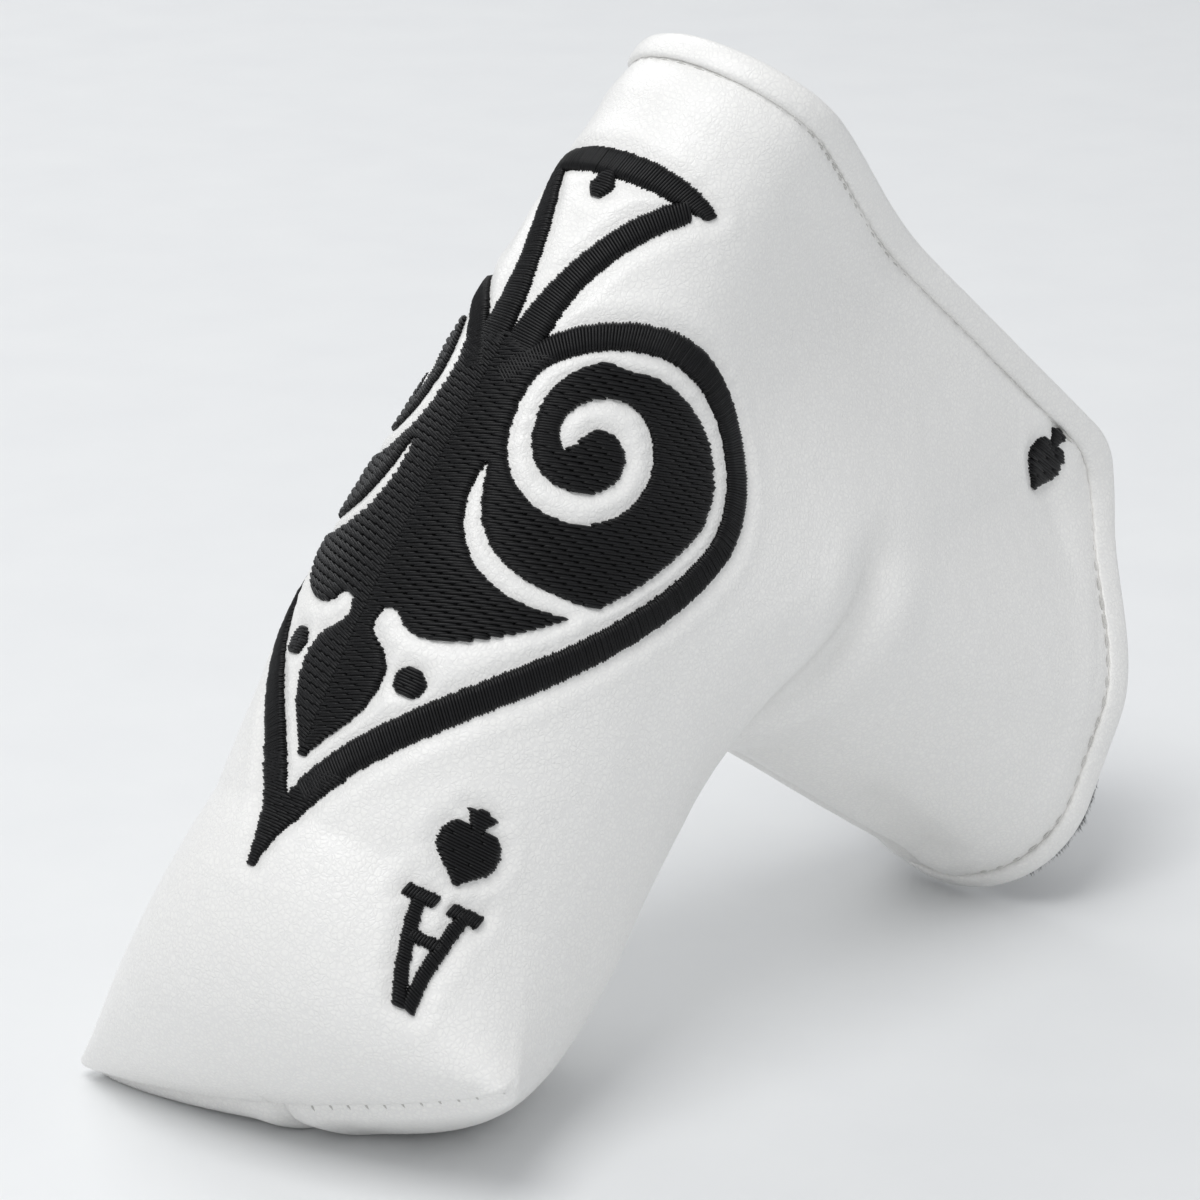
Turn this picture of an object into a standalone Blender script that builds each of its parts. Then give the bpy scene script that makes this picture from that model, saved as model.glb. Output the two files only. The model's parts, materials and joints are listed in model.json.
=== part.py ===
"""Blade putter head cover: an L-shaped padded pocket, open along the heel and the neck end.

All sizes are in metres. The cover is drawn in its own axes and then stood up on its toe and
the end of its neck: a runs along the sole from the toe towards the heel, b from the sole
towards the topline, and y across, with the near side negative. A point on any layer is named
by its station (0 at the toe section, 1 at the edge binding), by its share of the way from the
sole ridge to the underside seam, and by its inset, the depth below the outer skin.
"""

import math

import bmesh
import bpy
import numpy as np
from mathutils import Matrix, Vector
from mathutils.bvhtree import BVHTree

# Stance
BLADE_TILT = math.radians(54.5)      # the sole line's slope when the cover stands

# Blade leg
SOLE_LENGTH = 0.1166                 # toe section to heel, along a
SOLE_BOW = 0.0052                    # how far the sole bows out
SOLE_BOW_AT = 0.0305
SOLE_RADIUS = 0.312
BLADE_DEPTH = 0.0585                 # sole to underside seam
BLADE_HALF_WIDTH = 0.0272
HEAD_HALF_WIDTH = 0.0240             # where the two legs meet
HEAD_SPAN = (0.1, 0.8)               # stations over which the blade narrows to the head

# Toe
TOE_LENGTH = 0.0340                  # toe section to toe seam
TOE_SEAM_HALF = 0.0360               # half the toe seam's length
TOE_SEAM_B = 0.0210
TOE_SEAM_SKEW = 0.0100               # the near end of the seam sits this much further in
TOE_SEAM_ARCH = 0.0032
TOE_BULGE = 0.0030                   # how far the underside swells past the seam
TOE_TAPER = 2.8                      # how fast the inner layers draw back from the sharp seam
TOE_UNDER_PULL = 0.40                # how much blunter the underside meets the seam
TOE_FLARE = 1.5                      # how late the toe widens towards its seam
TOE_CROWDING = 1.15                  # how the toe's rows of points crowd to the seam

# Neck leg and mouth
NECK_INNER_A = 0.0375
NECK_END_B = 0.1320
CROTCH_RADIUS = 0.0140
CORNER_A = SOLE_LENGTH - 0.0101      # where the slit meets the neck end
CORNER_B = NECK_END_B - 0.0085
CORNER_CUT = 0.0100                  # tangent length of the rounded corner
ROUND_CUT = 0.5                      # the same at the toe: as round as the section allows
CUT_LIMIT = 0.48                     # the most of a side that the rounding takes
CORNER_GROWTH = 1.4                  # how late the sections take on the mouth's corner
SLIT_HALF_WIDTH = 0.0046             # the two edges almost meet
HEEL_HALF_WIDTH = 0.0170
SHAFT_HALF_WIDTH = 0.0203
END_ROUND = 0.0180                   # how far the U-turns at heel and neck reach
HEEL_SPAN = (0.03, 0.32)             # shares of the rim over which the heel's U closes
SHAFT_SPAN_END = 0.83                # share at which the shaft's opening is at its widest
MOUTH_SPAN = (0.30, 1.05)            # stations over which the body takes the mouth's width

# Layers
PANEL = 0.0010
FOAM = 0.0016
LINING = 0.0010
GAP = 0.0003
BAND = 0.0040                        # width of the edge binding
BAND_PROUD = 0.0002
BAND_SHOULDER = 0.7                  # share of its width at which the binding rounds off
BAND_LIP = (0.25, 0.75)              # shares of the wall between which its lip is flat
HEEL_BAND_END = 0.4                  # share past the fold, where the heel's length is cut from
NECK_BAND_START = 0.7

# Flaps and magnets
HINGE_HEEL = (SOLE_LENGTH - 0.0016, 0.0260)      # the fold line's ends, in a and b
HINGE_NECK = (0.0520, NECK_END_B - 0.0010)
HINGE_CLEARANCE = 0.0010             # axis outside the widest bulge along the fold
FOLD_REACH = 0.0080                  # how near the fold the bulge is looked for
MAGNET_RADIUS = 0.0040
MAGNET_THICKNESS = 0.0008
MAGNET_FROM_SLIT = 0.0105            # magnet centre to the edges at the corner
MAGNET_FROM_NECK = 0.0230
MAGNET_PITCH = 0.0260
MAGNET_SEGMENTS = 24

# Embroidery
STITCH_LIFT = 0.00060                # clear of the panel
STITCH_THICKNESS = 0.0008
SPADE_TIP = (-0.0090, 0.0025)        # a and t of its tip, a little to the near side
SPADE_LENGTH = 0.0870                # tip to the top of the lobes
SPADE_HALF_WIDTH = 0.0430
SPADE_STROKE = 0.0038
SPADE_INLINE = 0.0030                # bare panel between the outline and the centre
SPADE_TAPER = 3.4                    # a stroke's depth at the sharp tip, in strokes
HOLE_NECK = 0.9 * SPADE_STROKE       # half the waist of the outline's hole
CORE_NECK = 2.2 * SPADE_STROKE       # half the waist of the solid centre
CORE_NOTCH = 0.80                    # where the centre's waist sits, of its length
STEM_LENGTH = 0.0286
STEM_HALF_WIDTH = 0.0148
NEAR_INDEX = (-0.0090, 0.0284)       # a and t of the corner letter's middle
FAR_INDEX = (0.0970, -0.0390)
INDEX_HEIGHT, INDEX_WIDTH = 0.0146, 0.0106
LETTER_STROKE = 0.00175
PIP_LENGTH = 0.0098
PIP_BLADE = 0.82 * PIP_LENGTH        # its length without the foot
PIP_HALF_WIDTH = 0.43 * PIP_LENGTH
PIP_NECK = 0.06 * PIP_LENGTH
PIP_STEM_LENGTH, PIP_STEM_HALF = 0.30 * PIP_LENGTH, 0.20 * PIP_LENGTH
PIP_GAP = 0.0020                     # between the letter and its pip
NECK_PIP = (0.0930, 0.1050)          # a and b of its tip

# Mesh density
SIDE_CELLS = (9, 7)                  # ridge to corner, corner to underside seam
TOE_CELLS = 5
BODY_CELLS = 10
EMBROIDERY_CELL = 0.0055
OUTLINE_STEPS = 9                    # points on each curve of an outline
CHART_PITCH = 0.0030
CHART_START = -0.0240                # a of the chart's first line
CHART_REACH = 0.72                   # share of the way round that it covers
CHART_COLUMNS = 73
CHART_CROWDING = 1.3                 # how its columns crowd to the ridge
CHART_ROWS = (12, 36)                # points on a column over the toe and over the rest
SHARP_ANGLE = math.radians(35)

FOAM_INSET = PANEL + GAP
LINING_INSET = FOAM_INSET + FOAM + GAP
WALL = LINING_INSET + LINING
SEAT_DEPTH = 6 * FOAM                # the magnets' seats go right through the curved foam
CORNER_SHARE = CORNER_B / (CORNER_B + CORNER_A - NECK_INNER_A)

COLOURS = {
    "panel": ((0.86, 0.86, 0.85), 0.42),
    "foam": ((0.78, 0.76, 0.66), 0.90),
    "lining": ((0.012, 0.012, 0.014), 0.95),
    "binding": ((0.84, 0.84, 0.83), 0.45),
    "thread": ((0.015, 0.015, 0.018), 0.55),
    "magnet": ((0.60, 0.61, 0.63), 0.30),
}


def smooth(low, high, x):
    """Rises from 0 at low to 1 at high without a corner."""
    t = min(max((x - low) / (high - low), 0.0), 1.0)
    return t * t * (3 - 2 * t)


def mix(p, q, t):
    """The point a share t of the way from p to q."""
    return p + (q - p) * t


# --- The cover's shape -------------------------------------------------------------------

def sole_line(a):
    """b of the sole ridge, a shallow arc."""
    return -SOLE_BOW + (a - SOLE_BOW_AT) ** 2 / (2 * SOLE_RADIUS)


def underside(share, inset):
    """The seam under the blade, round the crotch and along the neck."""
    run = NECK_INNER_A - CROTCH_RADIUS
    turn = CROTCH_RADIUS * math.pi / 2
    rise = NECK_END_B - BAND - BLADE_DEPTH - CROTCH_RADIUS
    along = share * (run + turn + rise)
    if along < run:
        return np.array((along, BLADE_DEPTH - inset))
    radius = CROTCH_RADIUS + inset
    centre = np.array((run, BLADE_DEPTH + CROTCH_RADIUS))
    if along < run + turn:
        angle = (along - run) / CROTCH_RADIUS
        return centre + radius * np.array((math.sin(angle), -math.cos(angle)))
    return np.array((run + radius, centre[1] + along - run - turn))


def bend(start, corner, end, cut, share):
    """A point on the line start, corner, end with the corner rounded, and its length."""
    first, last = corner - start, end - corner
    length_1, length_2 = np.linalg.norm(first), np.linalg.norm(last)
    cut = min(cut, CUT_LIMIT * length_1, CUT_LIMIT * length_2)
    leave = corner - first / length_1 * cut
    join = corner + last / length_2 * cut
    curve = 0.5 * (np.linalg.norm(join - leave) + 2 * cut)
    total = length_1 + length_2 - 2 * cut + curve
    along = share * total
    if along < length_1 - cut:
        return mix(start, leave, along / (length_1 - cut)), total
    along -= length_1 - cut
    if along < curve:
        t = along / curve
        return (1 - t) ** 2 * leave + 2 * t * (1 - t) * corner + t * t * join, total
    return mix(join, end, (along - curve) / (length_2 - cut)), total


def section(station, share, inset, past=0.0):
    """a and b of a point, and its section's length; past runs on over the binding."""
    a = station * (SOLE_LENGTH - BAND) + past
    top = np.array((a, sole_line(a) + inset))
    foot = underside(station, inset)
    foot[1] += past
    corner = np.array((CORNER_A - BAND + past, CORNER_B - BAND + past))
    corner = mix((top + foot) / 2, corner, station ** CORNER_GROWTH)
    cut = mix(ROUND_CUT, CORNER_CUT, station)
    return bend(top, corner, foot, cut, share)


def mouth_half_width(share):
    """Half the mouth's width: a U at the heel, closed along the slit, open for the shaft."""
    heel = (HEEL_HALF_WIDTH - SLIT_HALF_WIDTH) * (1 - smooth(*HEEL_SPAN, share))
    shaft = (SHAFT_HALF_WIDTH - SLIT_HALF_WIDTH) * smooth(CORNER_SHARE - 0.01, SHAFT_SPAN_END,
                                                          share)
    return SLIT_HALF_WIDTH + heel + shaft


def half_width(station, share, inset, length):
    """Distance of the layer from the middle plane."""
    body = mix(BLADE_HALF_WIDTH, HEAD_HALF_WIDTH, smooth(*HEAD_SPAN, station))
    width = mix(body, mouth_half_width(share), smooth(*MOUTH_SPAN, station)) - inset
    reach = mix(length / 2, END_ROUND, smooth(0.0, 1.0, station)) / length
    near_top = 1 - min(share / reach, 1.0)
    near_foot = 1 - min((1 - share) / reach, 1.0)
    return width * math.sqrt(max(1 - near_top ** 2, 0.0) * max(1 - near_foot ** 2, 0.0))


def body_point(station, share, inset, side, past=0.0):
    """A point of the blade or neck in a, b, y; side is -1 near, 1 far."""
    (a, b), length = section(station, share, inset, past)
    return np.array((a, b, side * half_width(station, share, inset, length)))


def toe_point(turn, share, inset, side):
    """A point of the toe, from the seam at turn 0 to the toe section at a quarter turn."""
    point = body_point(0.0, share, inset, side)
    flat = 2 * math.sqrt(max(share * (1 - share), 0.0))
    across = -side * flat
    seam_a = -TOE_LENGTH + TOE_SEAM_SKEW * across + TOE_SEAM_ARCH * across ** 2
    seam_half = TOE_SEAM_HALF - TOE_TAPER * inset
    seam = np.array((seam_a + TOE_TAPER * inset, TOE_SEAM_B, side * flat * seam_half))
    pull = math.cos(turn)
    under = max(2 * share - 1, 0.0)
    middle = (sole_line(0.0) + BLADE_DEPTH) / 2
    return np.array((
        seam[0] * pull ** (1 - TOE_UNDER_PULL * under) - TOE_BULGE * under * math.sin(2 * turn),
        middle + (point[1] - middle) * math.sin(turn) + (seam[1] - middle) * pull,
        mix(point[2], seam[2], pull ** TOE_FLARE),
    ))


def shares(station):
    """The shares of the way from ridge to seam that carry points at a station."""
    cells = sum(SIDE_CELLS)
    round_end = [(1 - math.cos(math.pi * i / cells)) / 2 for i in range(cells + 1)]
    first = [CORNER_SHARE * (1 - math.cos(math.pi * i / SIDE_CELLS[0])) / 2
             for i in range(SIDE_CELLS[0] + 1)]
    last = [CORNER_SHARE + (1 - CORNER_SHARE) * (1 - math.cos(math.pi * i / SIDE_CELLS[1])) / 2
            for i in range(1, SIDE_CELLS[1] + 1)]
    return [mix(p, q, station) for p, q in zip(round_end, first + last)]


def loop_of(point_at, station):
    """One closed loop of points round the cover: down the near side and back up the far."""
    row = shares(station)
    near = [point_at(share, -1) for share in row]
    far = [point_at(share, 1) for share in reversed(row[1:-1])]
    return near + far


def to_stance(point):
    """From a, b, y to the standing cover's x, y, z."""
    a, b, y = point
    cos, sin = math.cos(BLADE_TILT), math.sin(BLADE_TILT)
    return Vector((a * cos + b * sin, y, a * sin - b * cos))


def settled(point, inset):
    """The point in stance coordinates, with the soft toe pressed flat on the table."""
    placed = to_stance(point)
    table = to_stance((NECK_INNER_A - BAND_PROUD, NECK_END_B, 0.0)).z
    placed.z = max(placed.z, table + inset)
    return placed


def skin(inset):
    """One layer's loops in stance coordinates, from the toe seam to the binding's inner edge."""
    loops = []
    for i in range(TOE_CELLS):
        turn = math.pi / 2 * (i / TOE_CELLS) ** TOE_CROWDING
        loops.append(loop_of(lambda s, side, t=turn: toe_point(t, s, inset, side), 0.0))
    for i in range(BODY_CELLS + 1):
        station = i / BODY_CELLS
        loops.append(loop_of(lambda s, side, k=station: body_point(k, s, inset, side), station))
    return [[settled(point, inset) for point in loop] for loop in loops]


# --- Building solids ----------------------------------------------------------------------

class Body:
    """One rigid body: an empty on its joint axis, with its pieces hung from it."""

    def __init__(self, name, pivot, parent=None):
        self.pivot = pivot
        self.empty = bpy.data.objects.new(name, None)
        bpy.context.scene.collection.objects.link(self.empty)
        self.empty.location = pivot
        if parent:
            self.empty.parent = parent.empty

    def add(self, name, bm, slot):
        """A named object from a closed bmesh in stance coordinates."""
        bmesh.ops.recalc_face_normals(bm, faces=bm.faces)
        mesh = bpy.data.meshes.new(name)
        bm.to_mesh(mesh)
        bm.free()
        mesh.transform(Matrix.Translation(-self.pivot))
        mesh.materials.append(material(slot))
        mesh.shade_smooth()
        mesh.set_sharp_from_angle(angle=SHARP_ANGLE)
        made = bpy.data.objects.new(name, mesh)
        bpy.context.scene.collection.objects.link(made)
        made.parent = self.empty
        return made


def material(name):
    """The Principled material of one slot, made once."""
    if name in bpy.data.materials:
        return bpy.data.materials[name]
    made = bpy.data.materials.new(name)
    made.use_nodes = True
    colour, roughness = COLOURS[name]
    shader = made.node_tree.nodes["Principled BSDF"]
    shader.inputs["Base Color"].default_value = (*colour, 1.0)
    shader.inputs["Roughness"].default_value = roughness
    shader.inputs["Metallic"].default_value = 1.0 if name == "magnet" else 0.0
    return made


def bridge(bm, lower, upper):
    """Joins two closed rows of points. Each cell's diagonal runs the same way in every layer."""
    for i, corner in enumerate(lower):
        j = (i + 1) % len(lower)
        bm.faces.new((corner, lower[j], upper[j]))
        bm.faces.new((corner, upper[j], upper[i]))


def layer_shell(inset, thickness):
    """One layer as a closed shell, shut at the toe seam and open at the mouth."""
    bm = bmesh.new()
    rims = []
    for depth in (inset, inset + thickness):
        rows = [[bm.verts.new(point) for point in loop] for loop in skin(depth)]
        for lower, upper in zip(rows, rows[1:]):
            bridge(bm, lower, upper)
        rims.append(rows[-1])
    bridge(bm, rims[0], rims[1])
    bmesh.ops.remove_doubles(bm, verts=bm.verts, dist=1e-6)
    bmesh.ops.dissolve_degenerate(bm, edges=bm.edges, dist=1e-6)
    return bm


def keep_side(bm, point, normal):
    """Cuts a solid by a plane and keeps the part that the normal points away from."""
    geometry = bm.verts[:] + bm.edges[:] + bm.faces[:]
    bmesh.ops.bisect_plane(bm, geom=geometry, plane_co=point, plane_no=normal,
                           clear_outer=True, dist=1e-7)
    open_edges = [edge for edge in bm.edges if edge.is_boundary]
    filled = bmesh.ops.holes_fill(bm, edges=open_edges, sides=0)["faces"]
    bmesh.ops.triangulate(bm, faces=filled)


def keep_half(bm, side):
    """Keeps the near or the far half of a solid."""
    keep_side(bm, Vector((0.0, side * GAP / 2, 0.0)), Vector((0.0, -side, 0.0)))


class Fold:
    """The line where a flap folds, and the planes that part it from the pocket."""

    def __init__(self):
        self.heel, self.neck = [to_stance((a, b, 0.0)) for a, b in (HINGE_HEEL, HINGE_NECK)]
        along = (self.neck - self.heel).normalized()
        self.outward = Vector((-along.z, 0.0, along.x))
        if (to_stance((CORNER_A, CORNER_B, 0.0)) - self.heel).dot(self.outward) < 0:
            self.outward.negate()

    def axis_point(self, side):
        """A point of the hinge axis, just outside the widest bulge of the skin at the fold."""
        points = [point for loop in skin(0.0) for point in loop]
        near_fold = [p for p in points if abs((p - self.heel).dot(self.outward)) < FOLD_REACH]
        widest = max(abs(p.y) for p in near_fold)
        middle = (self.heel + self.neck) / 2
        return Vector((middle.x, side * (widest + HINGE_CLEARANCE), middle.z))

    def keep(self, bm, flap):
        """Keeps the flap's part of a solid, or else the pocket's."""
        sign = 1 if flap else -1
        keep_side(bm, self.heel + self.outward * (sign * GAP / 2), self.outward * -sign)


def binding_strip(rows):
    """A length of edge binding through the mouth's points, each a share and a side."""
    shoulder = BAND_SHOULDER * BAND
    edge = ((GAP, -BAND_PROUD), (shoulder, -BAND_PROUD), (BAND, BAND_LIP[0] * WALL),
            (BAND, BAND_LIP[1] * WALL), (shoulder, WALL), (GAP, WALL))
    bm = bmesh.new()
    loops = [[bm.verts.new(to_stance(body_point(1.0, share, inset, side, past)))
              for past, inset in edge] for share, side in rows]
    for lower, upper in zip(loops, loops[1:]):
        bridge(bm, lower, upper)
    bm.faces.new(loops[0])
    bm.faces.new(loops[-1])
    return bm


# --- Embroidery ---------------------------------------------------------------------------

class Chart:
    """Finds a place on the cover from a and t, the way round from the ridge, near positive."""

    def __init__(self, lift):
        self.lines = np.arange(CHART_START, SOLE_LENGTH - BAND, CHART_PITCH)
        self.rows = {side: self._rows(side, -lift) for side in (-1, 1)}

    @staticmethod
    def _column(share, side, inset):
        """Points of one share from the toe seam to the mouth."""
        toe_rows, rows = CHART_ROWS
        toe = [toe_point(math.pi / 2 * i / toe_rows, share, inset, side)
               for i in range(toe_rows)]
        rest = [body_point(i / rows, share, inset, side) for i in range(rows + 1)]
        return np.array(toe + rest)

    def _rows(self, side, inset):
        """For each line of equal a: the arc length, b and y of points round the cover."""
        even = np.linspace(0, CHART_REACH, CHART_COLUMNS)
        columns = [self._column(share, side, inset) for share in even ** CHART_CROWDING]
        rows = []
        for a in self.lines:
            across = np.array([[np.interp(a, column[:, 0], column[:, i]) for i in (1, 2)]
                               for column in columns])
            steps = np.hypot(*np.diff(across, axis=0).T)
            rows.append((np.concatenate(([0.0], np.cumsum(steps))), across[:, 0], across[:, 1]))
        return rows

    def between(self, a, side):
        """The two rows on either side of a, and the share of the way between them."""
        rows = self.rows[side]
        index = min(max((a - self.lines[0]) / CHART_PITCH, 0.0), len(rows) - 1.001)
        low = int(index)
        return rows[low:low + 2], index - low

    def place(self, a, t):
        """The point of the lifted skin at a and t, in stance coordinates."""
        rows, share = self.between(a, -1 if t >= 0 else 1)
        ends = [np.array([np.interp(abs(t), row[0], row[i]) for i in (1, 2)]) for row in rows]
        b, y = mix(ends[0], ends[1], share)
        return to_stance((a, b, y))

    def reach(self, a, b):
        """t of the near side's point at a and b."""
        rows, share = self.between(a, -1)
        ends = [float(np.interp(b, row[1], row[0])) for row in rows]
        return mix(ends[0], ends[1], share)


def curve(start, pull_1, pull_2, end):
    """Points of a cubic curve without its last one."""
    steps = [i / OUTLINE_STEPS for i in range(OUTLINE_STEPS)]
    points = [np.array(p, dtype=float) for p in (start, pull_1, pull_2, end)]
    weights = [((1 - t) ** 3, 3 * t * (1 - t) ** 2, 3 * t * t * (1 - t), t ** 3) for t in steps]
    return [sum(w * p for w, p in zip(row, points)) for row in weights]


def mirrored(right):
    """A closed outline from its right half, which starts and ends on the middle line."""
    return right + [np.array((-x, y)) for x, y in reversed(right[1:-1])]


def spade(length, half, neck, notch=0.86, stem_length=0.0, stem_half=0.0):
    """A plain card spade, tip at the origin and pointing down, then its lobes and stem."""
    waist = notch * length
    right = curve((0, 0), (0.10 * half, 0.22 * length), (half, 0.30 * length),
                  (half, 0.66 * length))
    right += curve((half, 0.66 * length), (half, 0.92 * length), (0.70 * half, length),
                   (0.46 * half, length))
    right += curve((0.46 * half, length), (0.25 * half, length), (neck, waist + 0.1 * length),
                   (neck, waist))
    if stem_length:
        foot = waist + stem_length
        right += curve((neck, waist), (neck, foot - 0.45 * stem_length),
                       (0.6 * stem_half, foot - 0.2 * stem_length), (stem_half, foot))
        right += [np.array((stem_half, foot)), np.array((0.0, foot + 0.08 * stem_length))]
    else:
        right += [np.array((neck, waist)), np.array((0.0, waist - 0.06 * length))]
    return mirrored(right)


def moved_up(outline, height):
    """The outline moved along its middle line."""
    return [point + np.array((0.0, height)) for point in outline]


def letter_a(height, width, stroke):
    """The rank letter: an outline with slab feet, and its counter."""
    foot = 0.14 * height
    half = width / 2
    bar_low, bar_high = 0.30 * height, 0.42 * height

    def edge(y, inner):
        """The outer or inner side of the right leg at a height."""
        lean = (half - 0.9 * stroke) * (1 - y / height) + 0.5 * stroke
        return lean - (stroke if inner else 0.0)

    right = [(0, height), (0.45 * stroke, height), (edge(foot, False), foot), (half, foot),
             (half, 0), (half - 2.3 * stroke, 0), (half - 2.3 * stroke, foot),
             (edge(foot, True), foot), (edge(bar_low, True), bar_low), (0, bar_low)]
    counter = [(0, 0.78 * height), (edge(bar_high, True), bar_high), (0, bar_high)]
    return [mirrored([np.array(p, dtype=float) for p in half_loop])
            for half_loop in (right, counter)]


def flat_patch(outlines):
    """Triangles of a flat shape with holes, cut into cells small enough to curve."""
    bm = bmesh.new()
    for outline in outlines:
        verts = [bm.verts.new((x, y, 0.0)) for x, y in outline]
        for i, vert in enumerate(verts):
            bm.edges.new((vert, verts[(i + 1) % len(verts)]))
    bmesh.ops.triangle_fill(bm, edges=bm.edges, use_beauty=True, use_dissolve=False)
    points = np.array(outlines[0])
    for axis in (0, 1):
        low, high = points[:, axis].min(), points[:, axis].max()
        cells = max(int((high - low) / EMBROIDERY_CELL), 1)
        for i in range(1, cells):
            at, normal = [0.0, 0.0, 0.0], [0.0, 0.0, 0.0]
            at[axis], normal[axis] = mix(low, high, i / cells), 1.0
            bmesh.ops.bisect_plane(bm, geom=bm.verts[:] + bm.edges[:] + bm.faces[:],
                                   plane_co=at, plane_no=normal, dist=1e-5)
    bmesh.ops.triangulate(bm, faces=bm.faces)
    return bm


def stitched(outlines, charts, middle, up, offset=0.0):
    """A raised patch on the skin: middle is its a and t, up is -1 with its top to the toe."""
    flat = flat_patch(outlines)
    bm = bmesh.new()
    layers = []
    for chart in charts:
        layers.append({v.index: bm.verts.new(chart.place(middle[0] + up * (v.co.y - offset),
                                                         middle[1] - up * v.co.x))
                       for v in flat.verts})
    for face in flat.faces:
        corners = [v.index for v in face.verts]
        bm.faces.new([layers[0][i] for i in reversed(corners)])
        bm.faces.new([layers[1][i] for i in corners])
    for edge in flat.edges:
        if edge.is_boundary:
            i, j = [v.index for v in edge.verts]
            bm.faces.new((layers[0][i], layers[0][j], layers[1][j], layers[1][i]))
    flat.free()
    return bm


def add_embroidery(bodies):
    """The large spade over the sole, two corner indices and a pip on the near flap."""
    charts = [Chart(STITCH_LIFT), Chart(STITCH_LIFT + STITCH_THICKNESS)]
    pocket = bodies["pocket"]
    outer = spade(SPADE_LENGTH, SPADE_HALF_WIDTH, SPADE_STROKE,
                  stem_length=STEM_LENGTH, stem_half=STEM_HALF_WIDTH)
    top, tip = SPADE_LENGTH - SPADE_STROKE, SPADE_TAPER * SPADE_STROKE
    hole = spade(top - tip, SPADE_HALF_WIDTH - SPADE_STROKE, HOLE_NECK)
    pocket.add("spade_outline", stitched([outer, moved_up(hole, tip)], charts, SPADE_TIP, 1),
               "thread")
    top, tip = top - SPADE_INLINE, tip + SPADE_TAPER * SPADE_INLINE
    core = spade(top - tip, SPADE_HALF_WIDTH - SPADE_STROKE - SPADE_INLINE, CORE_NECK,
                 notch=CORE_NOTCH)
    pocket.add("spade_centre", stitched([moved_up(core, tip)], charts, SPADE_TIP, 1), "thread")
    pip = spade(PIP_BLADE, PIP_HALF_WIDTH, PIP_NECK, stem_length=PIP_STEM_LENGTH,
                stem_half=PIP_STEM_HALF)
    letter = letter_a(INDEX_HEIGHT, INDEX_WIDTH, LETTER_STROKE)
    for name, (a, t), up in (("near", NEAR_INDEX, -1), ("far", FAR_INDEX, 1)):
        pocket.add(f"{name}_index_letter", stitched(letter, charts, (a, t), up, INDEX_HEIGHT / 2),
                   "thread")
        pip_tip = a - up * (INDEX_HEIGHT / 2 + PIP_GAP)
        pocket.add(f"{name}_index_pip", stitched([pip], charts, (pip_tip, t), -up), "thread")
    neck_t = charts[0].reach(*NECK_PIP)
    bodies["near_flap"].add("neck_pip", stitched([pip], charts, (NECK_PIP[0], neck_t), 1),
                            "thread")


# --- Assembly -----------------------------------------------------------------------------

def add_layers(bodies, fold):
    """Panel, foam and lining, each in a near and a far half of the pocket and two flaps."""
    layers = (("panel", 0.0, PANEL), ("foam", FOAM_INSET, FOAM), ("lining", LINING_INSET, LINING))
    for layer, inset, thickness in layers:
        for half, side in (("near", -1), ("far", 1)):
            for body, part in (("pocket", f"pocket_{layer}_{half}"),
                               (f"{half}_flap", f"{half}_flap_{layer}")):
                bm = layer_shell(inset, thickness)
                keep_half(bm, side)
                fold.keep(bm, body != "pocket")
                bodies[body].add(part, bm, layer)


def add_bindings(bodies, fold):
    """The edge binding: an arch over the heel, a cup under the neck, a length on each flap."""
    row = shares(1.0)
    first = [share for share in row if share < HEEL_BAND_END]
    last = [share for share in row if share > NECK_BAND_START]
    heel = [(s, 1) for s in reversed(first)] + [(s, -1) for s in first[1:]]
    neck = [(s, -1) for s in last] + [(s, 1) for s in reversed(last[:-1])]
    for name, rows in (("heel_binding", heel), ("neck_binding", neck)):
        bm = binding_strip(rows)
        fold.keep(bm, False)
        bodies["pocket"].add(name, bm, "binding")
    for half, side in (("near", -1), ("far", 1)):
        bm = binding_strip([(s, side) for s in row[1:-1]])
        fold.keep(bm, True)
        bodies[f"{half}_flap"].add(f"{half}_flap_binding", bm, "binding")


def disc(radius, thickness, matrix):
    """A closed disc about the matrix's origin, with its axis along the matrix's Z."""
    bm = bmesh.new()
    bmesh.ops.create_cone(bm, cap_ends=True, segments=MAGNET_SEGMENTS, radius1=radius,
                          radius2=radius, depth=thickness, matrix=matrix)
    return bm


def wall_at(tree, a, b, side):
    """The middle of a wall at a and b, and its normal, found by a ray from the middle plane."""
    ray = Vector((0.0, side, 0.0))
    start = to_stance((a, b, 0.0))
    inner, normal, _, _ = tree.ray_cast(start, ray)
    outer, _, _, _ = tree.ray_cast(inner + ray * GAP, ray)
    return (inner + outer) / 2, normal


def add_magnets(bodies):
    """Two disc magnets in each flap's foam, which is cut out round them."""
    for half, side in (("near", -1), ("far", 1)):
        body = bodies[f"{half}_flap"]
        foam = bpy.data.objects[f"{half}_flap_foam"]
        solid = bmesh.new()
        solid.from_mesh(foam.data)
        solid.transform(Matrix.Translation(body.pivot))
        tree = BVHTree.FromBMesh(solid)
        solid.free()
        for number in (1, 2):
            a = CORNER_A - MAGNET_FROM_SLIT
            b = CORNER_B - MAGNET_FROM_NECK - (number - 1) * MAGNET_PITCH
            middle, normal = wall_at(tree, a, b, side)
            turn = normal.to_track_quat("Z", "Y").to_matrix().to_4x4()
            place = Matrix.Translation(middle) @ turn
            body.add(f"{half}_magnet_{number}", disc(MAGNET_RADIUS, MAGNET_THICKNESS, place),
                     "magnet")
            cutter = body.add(f"{half}_magnet_seat_{number}",
                              disc(MAGNET_RADIUS + GAP, SEAT_DEPTH, place), "foam")
            cutter.hide_render = True
            cutter.display_type = "WIRE"
            cut = foam.modifiers.new(f"magnet_seat_{number}", "BOOLEAN")
            cut.operation = "DIFFERENCE"
            cut.object = cutter


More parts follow.
